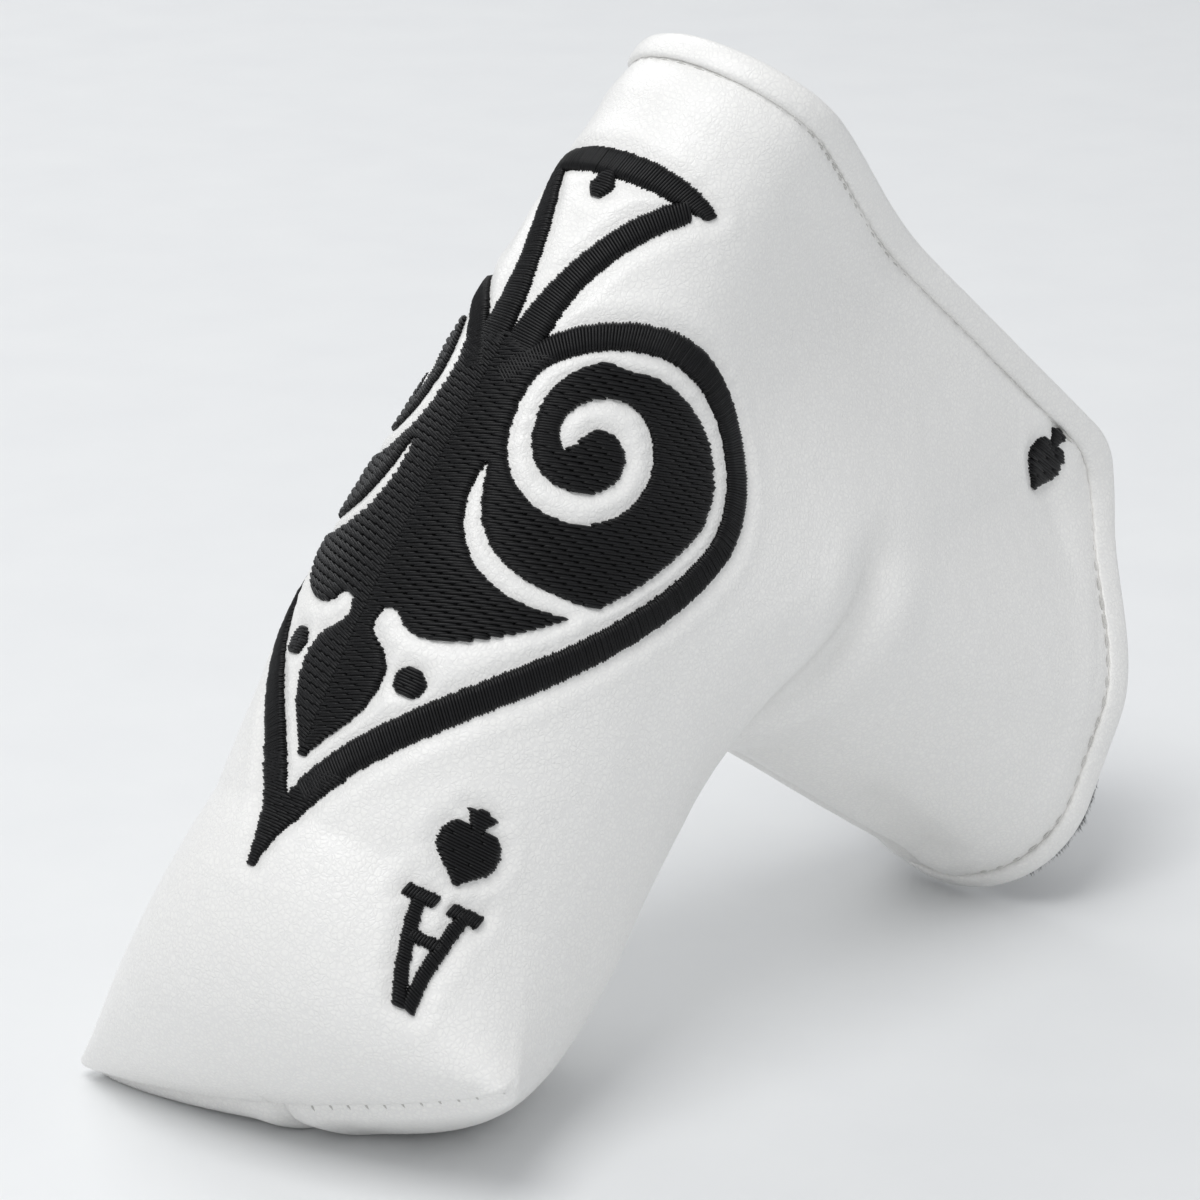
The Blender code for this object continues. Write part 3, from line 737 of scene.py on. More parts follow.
@dataclass
class Skin:
    """A grid over the cover's skin: rows from the toe seam to the mouth, columns across.

    Its last rows run in under the edge binding.
    """

    shape: CoverShape
    toe_rows: int = 46
    body_rows: int = 150
    columns: int = 200
    tucks: tuple[tuple[float, float], ...] = ((0.5 * MM, 0.25 * MM), (1.4 * MM, 0.5 * MM))
    shares: dict[int, np.ndarray] = field(init=False)

    def __post_init__(self) -> None:
        """Spaces the columns evenly over each row."""
        fine = bunched(900)
        self.shares = {}
        for side in (NEAR, FAR):
            rows = []
            for row in range(self.row_count):
                along = run_length(self.row(row, fine, 0.0, side), 0)
                rows.append(np.interp(np.linspace(0, along[-1], self.columns + 1), along, fine))
            self.shares[side] = np.array(rows)

    @property
    def row_count(self) -> int:
        """How many rows the grid has."""
        return self.toe_rows + self.body_rows + 1 + len(self.tucks)

    def row(self, row: int, share: np.ndarray, inset: float, side: int) -> np.ndarray:
        """Points of one row in a, b, y.

        Args:
            row: its number.
            share: the shares wanted.
            inset: depth below the skin.
            side: near or far.

        Returns:
            One row of points.
        """
        if row < self.toe_rows:
            turn = math.pi / 2 * (row / self.toe_rows) ** 1.15
            return self.shape.toe(turn, share, inset, side)
        row -= self.toe_rows
        if row <= self.body_rows:
            return self.shape.body(row / self.body_rows, share, inset, side)
        past, deeper = self.tucks[row - self.body_rows - 1]
        return self.shape.body(1.0, share, inset + deeper, side, past)

    def layer(self, inset: float, side: int) -> np.ndarray:
        """One side of a layer in a, b, y: rows, columns, coordinates."""
        return np.array([self.row(i, self.shares[side][i], inset, side)
                         for i in range(self.row_count)])


def outward(normals: np.ndarray, points: np.ndarray) -> np.ndarray:
    """Normals of a ringed surface, turned over if they point to its middle."""
    middle = points.mean(axis=1, keepdims=True)
    return -normals if (normals * (points - middle)).sum() < 0 else normals


def winds_inward(points: np.ndarray, normals: np.ndarray, face: np.ndarray) -> bool:
    """Whether a quad winds against the normal of its first corner."""
    corner = points.reshape(-1, 3)[face]
    turn = np.cross(corner[1] - corner[0], corner[3] - corner[0])
    return turn @ normals.reshape(-1, 3)[face[0]] < 0


def loop_normals(near: np.ndarray, far: np.ndarray) -> tuple[np.ndarray, np.ndarray]:
    """Outward normals of the two sides of a layer, the same where they meet.

    Args:
        near: the near side's grid.
        far: the far side's grid, its first and last columns the near side's.

    Returns:
        Normals of both, in the grids' shape.
    """
    last = near.shape[1] - 1
    loop = np.concatenate((near, far[:, -2:0:-1]), axis=1)
    across = np.roll(loop, -1, axis=1) - np.roll(loop, 1, axis=1)
    normals = outward(unit(np.cross(across, np.gradient(loop, axis=0))), loop)
    back = np.concatenate((normals[:, :1], normals[:, :last - 1:-1]), axis=1)
    return normals[:, :last + 1], back


def shell_piece(name: str, outer: np.ndarray, inner: np.ndarray, normals: np.ndarray,
                finish: bpy.types.Material, shade_and_scuff: np.ndarray | None = None) -> bpy.types.Object:
    """One side of a layer as a closed shell, folded shut along the toe seam.

    Args:
        name: the piece's name.
        outer: grid of its outer face.
        inner: grid of its inner face.
        normals: outward normals of the grid.
        finish: its material.
        shade_and_scuff: how far each point of the outer face is darkened, from 0 to 1, as painted
            shade in its hollows.

    Returns:
        The object.
    """
    rows, columns = outer.shape[:2]
    index = np.arange(rows * columns).reshape(rows, columns)
    half = columns // 2
    normals = normals.copy()
    normals[0, :half + 1] = unit(normals[0, :half + 1] + normals[0, ::-1][:half + 1])
    index[0, half + 1:] = index[0, :half][::-1]
    below = index + rows * columns
    rims = [np.stack((index[:, 0], below[:, 0])), np.stack((below[:, -1], index[:, -1])),
            np.stack((index[-1], below[-1]))]
    faces = np.concatenate([grid_faces(index), grid_faces(below)[:, ::-1]]
                           + [grid_faces(rim) for rim in rims])
    if winds_inward(outer, normals, grid_faces(index)[rows * half]):
        faces = faces[:, ::-1]
    shade_and_scuff = np.zeros(outer.shape[:2]) if shade_and_scuff is None else shade_and_scuff
    return mesh_piece(name, np.concatenate((outer, inner)).reshape(-1, 3), faces, finish,
                      np.concatenate((normals, -normals)).reshape(-1, 3),
                      {"shade_and_scuff": np.concatenate((shade_and_scuff, shade_and_scuff)).reshape(-1)})


class Rig:
    """The two flaps' fold line, found in the frame; the soft pieces are only baked in place."""

    BEFORE = 4.0 * MM                    # self.start lies this far inside the fold line
    AFTER = 11.0 * MM                    # and self.end this far outside it

    def __init__(self, shape: CoverShape) -> None:
        """Finds the fold line in the frame."""
        heel, neck = [shape.to_frame(np.array(end)) for end in (shape.fold_heel,
                                                                shape.fold_neck)]
        along = unit(neck - heel)
        away = np.array((-along[2], 0.0, along[0]))
        corner = shape.to_frame(np.array((*shape.corner, 0.0)))
        away *= np.sign((corner - heel) @ away)
        self.start = heel - away * self.BEFORE
        self.end = heel + away * self.AFTER

    def bend(self, piece: bpy.types.Object, side: int) -> None:
        """Bakes the piece's placement into its mesh; it is not bent with the flaps."""
        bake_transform(piece)


# --- Embroidery -----------------------------------------------------------------------------

class Chart:
    """Finds places on the skin from a and t, the way round from the ridge, near positive."""

    STEPS_ROUND = 168                    # steps charted on each side of the ridge
    TOE_END = -30 * MM                   # a of its first line
    SHARE_END = 0.78                     # how far round the underside it has to reach
    TOE_SECTIONS, BODY_SECTIONS = 24, 90

    def __init__(self, shape: CoverShape) -> None:
        """Charts the skin from the toe to the mouth."""
        self.step = 0.75 * MM
        self.lines = np.arange(self.TOE_END, shape.sole_length - shape.band, self.step)
        self.ways = np.arange(-self.STEPS_ROUND, self.STEPS_ROUND + 1) * self.step
        sides = [self._side(shape, side) for side in (FAR, NEAR)]
        table = np.concatenate((sides[0][:, :0:-1], sides[1]), axis=1)
        lines = np.broadcast_to(self.lines[:, None, None], (*table.shape[:2], 1))
        self.cover = np.concatenate((lines, table), axis=-1)
        self.frame = shape.to_frame(self.cover)
        normals = unit(np.cross(np.gradient(self.frame, axis=1), np.gradient(self.frame, axis=0)))
        self.normals = normals * -np.sign(normals[60, len(self.ways) // 2 + 60, 1])

    def _side(self, shape: CoverShape, side: int) -> np.ndarray:
        """b and y over one side of the chart, from the ridge outwards."""
        half = len(self.ways) // 2 + 1
        share = np.linspace(0, 1, 110) ** 1.3 * self.SHARE_END
        toe = [shape.toe(math.pi / 2 * i / self.TOE_SECTIONS, share, 0.0, side)
               for i in range(self.TOE_SECTIONS)]
        rest = [shape.body(i / self.BODY_SECTIONS, share, 0.0, side)
                for i in range(self.BODY_SECTIONS + 1)]
        columns = np.array(toe + rest)
        rows = []
        for a in self.lines:
            across = np.array([[np.interp(a, columns[:, k, 0], columns[:, k, i])
                                for i in (1, 2)] for k in range(len(share))])
            along = run_length(across, 0)
            at = np.arange(half) * self.step
            rows.append(np.column_stack([np.interp(at, along, across[:, i]) for i in (0, 1)]))
        return np.array(rows)

    def place(self, at: np.ndarray, lift: np.ndarray | float) -> tuple[np.ndarray, np.ndarray]:
        """Points over the skin.

        Args:
            at: a and t in the last axis.
            lift: height above the skin.

        Returns:
            The points and the skin's normals there.
        """
        row = np.clip((at[..., 0] - self.lines[0]) / self.step, 0, len(self.lines) - 1.001)
        col = np.clip((at[..., 1] - self.ways[0]) / self.step, 0, len(self.ways) - 1.001)
        i, j = row.astype(int), col.astype(int)
        f, g = (row - i)[..., None], (col - j)[..., None]

        def read(table: np.ndarray) -> np.ndarray:
            """The table between its four nearest entries."""
            return mix(mix(table[i, j], table[i, j + 1], g),
                       mix(table[i + 1, j], table[i + 1, j + 1], g), f)

        normals = unit(read(self.normals))
        return read(self.frame) + normals * np.asarray(lift)[..., None], normals

    def way(self, a: float, b: float) -> float:
        """t of the near side's point at a and b."""
        row = self.cover[int((a - self.lines[0]) / self.step)]
        near = row[len(self.ways) // 2:]
        return float(np.interp(b, near[:, 1], self.ways[len(self.ways) // 2:]))


def curve(*pulls: tuple[float, float], steps: int = 40) -> np.ndarray:
    """Points of a cubic curve, in millimetres.

    Args:
        pulls: start, two pull points and end.
        steps: how many pieces.

    Returns:
        One row per point.
    """
    t = np.linspace(0, 1, steps + 1)[:, None]
    p = np.array(pulls, dtype=float)
    return ((1 - t) ** 3 * p[0] + 3 * t * (1 - t) ** 2 * p[1] + 3 * t * t * (1 - t) * p[2]
            + t ** 3 * p[3])


def mirrored(right: np.ndarray) -> np.ndarray:
    """A closed outline from its right half, which starts and ends on the middle line."""
    return np.concatenate((right, right[::-1] * (-1, 1)))


def offset(path: np.ndarray, distance: np.ndarray | float) -> np.ndarray:
    """A path moved to its left by a distance that may vary."""
    along = unit(np.gradient(path, axis=0))
    left = np.column_stack((-along[:, 1], along[:, 0]))
    return path + left * np.asarray(distance).reshape(-1, 1)


def ribbon(path: np.ndarray, half: np.ndarray) -> np.ndarray:
    """The outline of a band about a path."""
    return np.concatenate((offset(path, half), offset(path, -half)[::-1]))


def inside(points: np.ndarray, outline: np.ndarray) -> np.ndarray:
    """Whether each point lies in a closed outline.

    Args:
        points: one row each.
        outline: its corners.

    Returns:
        True or False for each point.
    """
    x, y = points[:, :1], points[:, 1:]
    x0, y0 = outline.T
    x1, y1 = np.roll(outline, -1, axis=0).T
    rise = np.where(y1 == y0, 1e-9, y1 - y0)
    crossed = ((y0 > y) != (y1 > y)) & (x < (x1 - x0) * (y - y0) / rise + x0)
    return crossed.sum(axis=1) % 2 == 1


@dataclass
class Needlework:
    """A batch of stitches, in millimetres of its own motif, laid down on the chart.

    A stitch is one thread that rises from a needle hole, lies over the panel and dives into
    the next one. Its ends scatter a little, which gives satin its combed edge.
    """

    middle: tuple[float, float]          # a and t of the motif's origin
    up: int = 1                          # -1 with its top towards the toe
    pitch: float = 0.40                  # between two threads
    thread: float = 0.62                 # a thread's width, flattened by its tension
    height: float = 0.42                 # of a thread's top above the panel
    sink: float = 0.42                   # of its ends in their needle holes
    scatter: float = 0.22                # of the needle holes about the edge
    stitch: float = 4.6                  # longest thread in a fill
    shortest: float = 0.9                # no cut in a row is closer to its ends
    lap: float = 0.3                     # how far two threads of a row pass each other
    seed: int = 7
    ends: list[np.ndarray] = field(default_factory=list)
    beats: list[np.ndarray] = field(default_factory=list)

    def __post_init__(self) -> None:
        """Seeds the scatter."""
        self.random = np.random.default_rng(self.seed)

    def satin(self, path: np.ndarray, half: np.ndarray | float) -> None:
        """Threads laid across a path, from edge to edge of its band.

        Args:
            path: the band's middle.
            half: half the band's width, at each point of the path or all along.
        """
        half = np.broadcast_to(np.asarray(half, dtype=float), len(path))
        both = resampled(np.column_stack((path, half)), self.pitch)
        line, width = both[:, :2], both[:, 2]
        left = width + self.random.uniform(-0.2, 1.0, len(line)) * self.scatter
        right = width + self.random.uniform(-0.2, 1.0, len(line)) * self.scatter
        along = unit(np.gradient(line, axis=0))
        slant = along * self.pitch / 2
        self.ends.append(np.stack((offset(line, left) - slant, offset(line, -right) + slant),
                                  axis=1))
        self.beats.append(np.arange(len(line)) * self.pitch)

    def fill(self, outline: np.ndarray, holes: tuple[np.ndarray, ...] = (),
             slope: float = 0.0) -> None:
        """Rows of threads over an area, broken up like brickwork.

        Args:
            outline: its edge.
            holes: areas left bare.
            slope: how the rows climb away from the middle line.
        """
        low, high = outline.min(axis=0), outline.max(axis=0)
        x = np.arange(low[0] - 0.2, high[0] + 0.2, 0.1)
        reach = abs(slope) * np.abs(x).max()
        for number, base in enumerate(np.arange(low[1] - reach, high[1] + reach, self.pitch)):
            y = base + slope * np.abs(x)
            points = np.column_stack((x, y))
            covered = inside(points, outline)
            for hole in holes:
                covered &= ~inside(points, hole)
            change = np.flatnonzero(np.diff(np.concatenate(([0], covered.astype(int), [0]))))
            for start, stop in change.reshape(-1, 2):
                self._row(x[start], x[stop - 1], base, slope, number)

    def _row(self, start: float, stop: float, base: float, slope: float, number: int) -> None:
        """One row of a fill from start to stop, cut at the middle line and in brickwork."""
        if stop - start < 0.25:
            return
        start -= self.random.uniform(-0.1, 1.0) * self.scatter
        stop += self.random.uniform(-0.1, 1.0) * self.scatter
        brick = (number * 0.618 % 1.0) * self.stitch
        cuts = np.arange(math.floor(start / self.stitch), stop / self.stitch + 1) * self.stitch
        cuts = np.concatenate((cuts + brick, [0.0]) if slope else (cuts + brick, []))
        cuts = np.sort(cuts[(cuts > start + self.shortest) & (cuts < stop - self.shortest)])
        stops = np.concatenate(([start], cuts, [stop]))
        rows = np.column_stack((stops, base + slope * np.abs(stops)))
        self.ends.append(np.stack((rows[:-1] - (self.lap, 0), rows[1:] + (self.lap, 0)),
                                  axis=1))
        self.beats.append(np.full(len(rows) - 1, number * self.pitch))

    def footprint(self) -> tuple[np.ndarray, np.ndarray]:
        """Points all over the stitches, and how far along the motif each one lies."""
        ends = np.concatenate(self.ends)
        share = np.linspace(0, 1, 7)
        points = mix(ends[:, :1], ends[:, 1:], share[None, :, None])
        return points.reshape(-1, 2), np.repeat(np.concatenate(self.beats), len(share))

    def charted(self, points: np.ndarray) -> np.ndarray:
        """Motif points in millimetres as a and t in metres."""
        return np.stack((self.middle[0] + self.up * points[..., 1] * MM,
                         self.middle[1] - self.up * points[..., 0] * MM), axis=-1)

    def sewn(self, name: str, chart: Chart, finish: bpy.types.Material) -> bpy.types.Object:
        """The stitches as one piece.

        Args:
            name: the piece's name.
            chart: where the skin is.
            finish: its material.

        Returns:
            The object.
        """
        ends = self.charted(np.concatenate(self.ends))
        share = np.linspace(0, 1, 8)
        across = mix(ends[:, :1], ends[:, 1:], share[None, :, None])
        length = np.linalg.norm(ends[:, 1] - ends[:, 0], axis=-1)
        swell = 1 - np.abs(2 * share - 1) ** 6
        rise = np.minimum(self.height, 0.16 + 90 * length) * self.random.uniform(
            0.85, 1.1, len(ends))
        lift = (-self.sink + (rise[:, None] + self.sink - self.thread / 2) * swell[None]) * MM
        centres, normals = chart.place(across, lift)
        along = unit(np.gradient(centres, axis=1))
        half = self.thread / 2 * MM * (0.55 + 0.45 * swell)[None, :, None]
        sideways = unit(np.cross(normals, along)) * half
        points, faces = tubes(centres, sideways, unit(np.cross(along, sideways)) * half)
        tone = np.repeat(self.random.uniform(0.25, 1.0, len(ends)), len(share) * 4)
        LOG.info("%s: %d stitches", name, len(ends))
        return mesh_piece(name, points, faces, finish, values={"tone": tone})


@dataclass
class Emblem:
    """The large spade over the sole: outline, bare inline, scrolled centre and open stem."""

    length: float = 87.0                 # tip to the top of the lobes, in millimetres
    half: float = 43.0
    stroke: float = 3.8
    inline: float = 3.0
    stem: float = 28.6
    stem_half: float = 14.8
    waist: float = 74.8                  # foot of the notch between lobe and stem

    def edge(self) -> np.ndarray:
        """The right side from the tip over the lobe to the notch."""
        h, n = self.half, self.length
        return np.concatenate((
            curve((0, 0), (0.07 * h, 0.25 * n), (0.83 * h, 0.42 * n), (1.03 * h, 0.74 * n),
                  steps=90)[:-1],
            curve((1.03 * h, 0.74 * n), (1.08 * h, 0.91 * n), (0.78 * h, 1.01 * n),
                  (0.47 * h, n), steps=60)[:-1],
            curve((0.47 * h, n), (0.28 * h, 0.985 * n), (0.14 * h, self.waist + 0.08 * n),
                  (0.8, self.waist - 2.0), steps=30)))

    def outline(self, work: Needlework) -> None:
        """Satin along the outline and the stem, with rows over the tip."""
        edge = resampled(self.edge(), 0.5)
        middle = offset(edge, self.stroke / 2)
        side = middle[edge[:, 1] > 11.0]
        for flip in BOTH_WAYS:
            work.satin(side * flip, self.stroke / 2)
        tip = edge[(edge[:, 1] < 16.0) & (edge[:, 0] < 16)]
        bare = offset(tip, self.stroke - 0.4)
        bare = bare[bare[:, 0] > 0]
        work.fill(mirrored(tip), (mirrored(np.concatenate(([[0, bare[0, 1]]], bare,
                                                           [[0, tip[-1, 1] + 5]]))),))
        top = self.waist + self.stem
        limb = curve((2.6, 76.0), (2.4, 87.0), (6.0, 95.5), (self.stem_half - 2.6, top - 1.2))
        width = np.interp(np.linspace(0, 1, len(limb)), (0, 0.4, 1), (2.7, 1.9, 1.7))
        for flip in BOTH_WAYS:
            work.satin(limb * flip, width)
        cap = curve((-self.stem_half - 0.6, top - 0.6), (-9.0, top + 1.8), (9.0, top + 1.8),
                    (self.stem_half + 0.6, top - 0.6))
        taper = 2.0 * np.sqrt(np.sin(np.linspace(0.03, 0.97, len(cap)) * math.pi))
        work.satin(cap, taper)
        knee = curve((0.0, top + 0.6), (1.6, top - 1.6), (2.4, top - 2.8), (0.0, top - 4.4))
        work.fill(mirrored(knee))

    def scroll(self) -> np.ndarray:
        """The bare volute of the right lobe, which opens out of the inline."""
        turn = np.radians(np.linspace(62, 560, 160))
        part = np.linspace(0, 1, len(turn))
        radius = np.interp(part, (0, 0.08, 0.24, 0.42, 0.62, 0.82, 1),
                           (17.5, 14.0, 9.6, 8.2, 7.0, 4.9, 2.6))
        path = np.array((17.8, 67.6)) + radius[:, None] * np.column_stack((np.cos(turn),
                                                                         np.sin(turn)))
        half = np.interp(part, (0, 0.2, 0.45, 0.7, 0.9, 1), (1.5, 1.7, 2.2, 2.5, 2.2, 1.2))
        return ribbon(path, half)

    def centre(self, work: Needlework) -> None:
        """Rows over the scrolled centre, its leaf and the two dots beside it."""
        edge = resampled(self.edge(), 0.5)
        rim = offset(edge, self.stroke + self.inline)
        lobe = rim[(edge[:, 1] > 44) & ((edge[:, 0] > 15) | (edge[:, 1] < 60))]
        right = np.concatenate((
            curve((0.0, 15.6), (1.2, 20.0), (6.8, 23.0), (6.4, 29.5))[:-1],
            curve((6.4, 29.5), (6.0, 33.6), (2.2, 33.2), (1.9, 36.0))[:-1],
            curve((1.9, 36.0), (2.6, 39.4), (5.2, 38.6), (6.4, 37.0))[:-1],
            curve((6.4, 37.0), (10.0, 34.4), (17.0, 38.4), tuple(lobe[0]))[:-1],
            lobe,
            curve(tuple(lobe[-1]), (12.5, 79.0), (9.0, 78.0), (6.6, 76.6)),
            np.array(((4.0, 76.4), (0.0, 77.5)))))
        arc = curve((6.6, 60.5), (6.6, 49.5), (15.0, 43.0), (32.0, 49.5), steps=60)
        crescent = ribbon(arc, 1.7 * np.sqrt(np.sin(np.linspace(0.02, 0.98, len(arc))
                                                     * math.pi)))
        holes = [shape * flip for shape in (self.scroll(), crescent) for flip in BOTH_WAYS]
        work.fill(mirrored(right), tuple(holes), slope=0.42)
        angle = np.linspace(0, 2 * math.pi, 26)[:-1]
        dot = np.array((10.3, 30.2)) + 1.9 * np.column_stack((np.cos(angle), np.sin(angle)))
        for flip in BOTH_WAYS:
            work.fill(dot * flip)


def small_spade(length: float) -> tuple[np.ndarray, np.ndarray]:
    """The outline of a pip, tip at the origin, and of its stem.

    Args:
        length: tip to foot in millimetres.

    Returns:
        The blade's outline and the stem's.
    """
    n, h = 0.79 * length, 0.43 * length
    right = np.concatenate((
        curve((0, 0), (0.14 * h, 0.22 * n), (h, 0.30 * n), (h, 0.66 * n), steps=20)[:-1],
        curve((h, 0.66 * n), (h, 0.92 * n), (0.70 * h, n), (0.46 * h, n), steps=14)[:-1],
        curve((0.46 * h, n), (0.25 * h, n), (0.3, 0.9 * n), (0.0, 0.84 * n), steps=10)))
    stem = np.array(((0.3, 0.78 * n), (0.45, 0.96 * n), (0.19 * length, length),
                     (0.0, 1.03 * length)))
    return mirrored(right), mirrored(stem)


def sew_letter(work: Needlework, height: float, width: float, stroke: float) -> None:
    """A slab-footed rank letter in satin, its middle at the origin.

    Args:
        work: the batch to sew it in.
        height: overall height in millimetres.
        width: over the feet.
        stroke: a leg's thickness.
    """
    apex, foot = height / 2, -height / 2
    reach = width / 2 - 1.15 * stroke
    for sign in (-1, 1):
        leg = np.array(((sign * 0.34 * stroke, apex), (sign * reach, foot + 0.6 * stroke)))
        work.satin(resampled(leg, 0.4), stroke / 2)
        slab = np.array(((sign * (width / 2 - 2.35 * stroke), foot + 0.46 * stroke),
                         (sign * width / 2, foot + 0.46 * stroke)))
        work.satin(resampled(slab, 0.4), 0.46 * stroke)
    bar = 0.40 * height + foot
    half = reach * (1 - 0.40) + 0.1
    work.satin(resampled(np.array(((-half, bar), (half, bar))), 0.4), 0.40 * stroke)


@dataclass
class Embroidery:
    """All the motifs, in black thread."""

    chart: Chart
    finishes: Finishes
    index_size: tuple[float, float, float] = (14.6, 10.6, 1.75)    # height, width, stroke, mm
    pip_length: float = 9.8
    spade_at: tuple[float, float] = (-9.0 * MM, 2.5 * MM)
    near_index: tuple[float, float] = (-9.0 * MM, 28.4 * MM)
    far_index: tuple[float, float] = (97.0 * MM, -39.0 * MM)
    neck_pip_at: tuple[float, float] = (93.0 * MM, 105.0 * MM)     # a and b
    pip_gap: float = 2.0                 # from the letter's foot to its pip, mm
    works: dict[str, tuple[Needlework, str]] = field(default_factory=dict)

    def plan(self) -> None:
        """Works out every stitch, so that the panel can pucker round them."""
        emblem = Emblem()
        outline = Needlework(self.spade_at, seed=11)
        emblem.outline(outline)
        centre = Needlework(self.spade_at, seed=12, height=0.36)
        emblem.centre(centre)
        self.works = {"spade_outline_satin": (outline, "spade_outline"),
                      "spade_centre_fill": (centre, "spade_centre")}
        for name, at, up in (("near", self.near_index, -1), ("far", self.far_index, 1)):
            letter = Needlework(at, up, seed=21 + up)
            sew_letter(letter, *self.index_size)
            self.works[f"{name}_index_letter_satin"] = (letter, f"{name}_index_letter")
            tip = at[0] - up * (self.index_size[0] / 2 + self.pip_gap) * MM
            self.works[f"{name}_index_pip_satin"] = (
                self.pip((tip, at[1]), -up, 31 + up), f"{name}_index_pip")
        a, b = self.neck_pip_at
        self.works["neck_pip_satin"] = (self.pip((a, self.chart.way(a, b)), 1, 41), "neck_pip")

    def pip(self, at: tuple[float, float], up: int, seed: int) -> Needlework:
        """A small spade with its tip at a and t."""
        work = Needlework(at, up, seed=seed, stitch=12.0, scatter=0.3)
        for outline in small_spade(self.pip_length):
            work.fill(outline)
        return work

    def footprint(self) -> tuple[np.ndarray, np.ndarray]:
        """Points all over the motifs, in the frame, and how far along the work each lies."""
        points, beats = zip(*(work.footprint() for work, _ in self.works.values()))
        placed = [self.chart.place(work.charted(spots), 0.0)[0]
                  for (work, _), spots in zip(self.works.values(), points)]
        return np.concatenate(placed), np.concatenate(beats)

    def build(self) -> None:
        """Sews the motifs and lets each ride with its body."""
        for name, (work, node) in self.works.items():
            piece = work.sewn(name, self.chart, self.finishes.black_thread)
            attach(piece, "near_flap" if node == "neck_pip" else "pocket")
            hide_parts(node)


# --- Panel, foam, lining --------------------------------------------------------------------

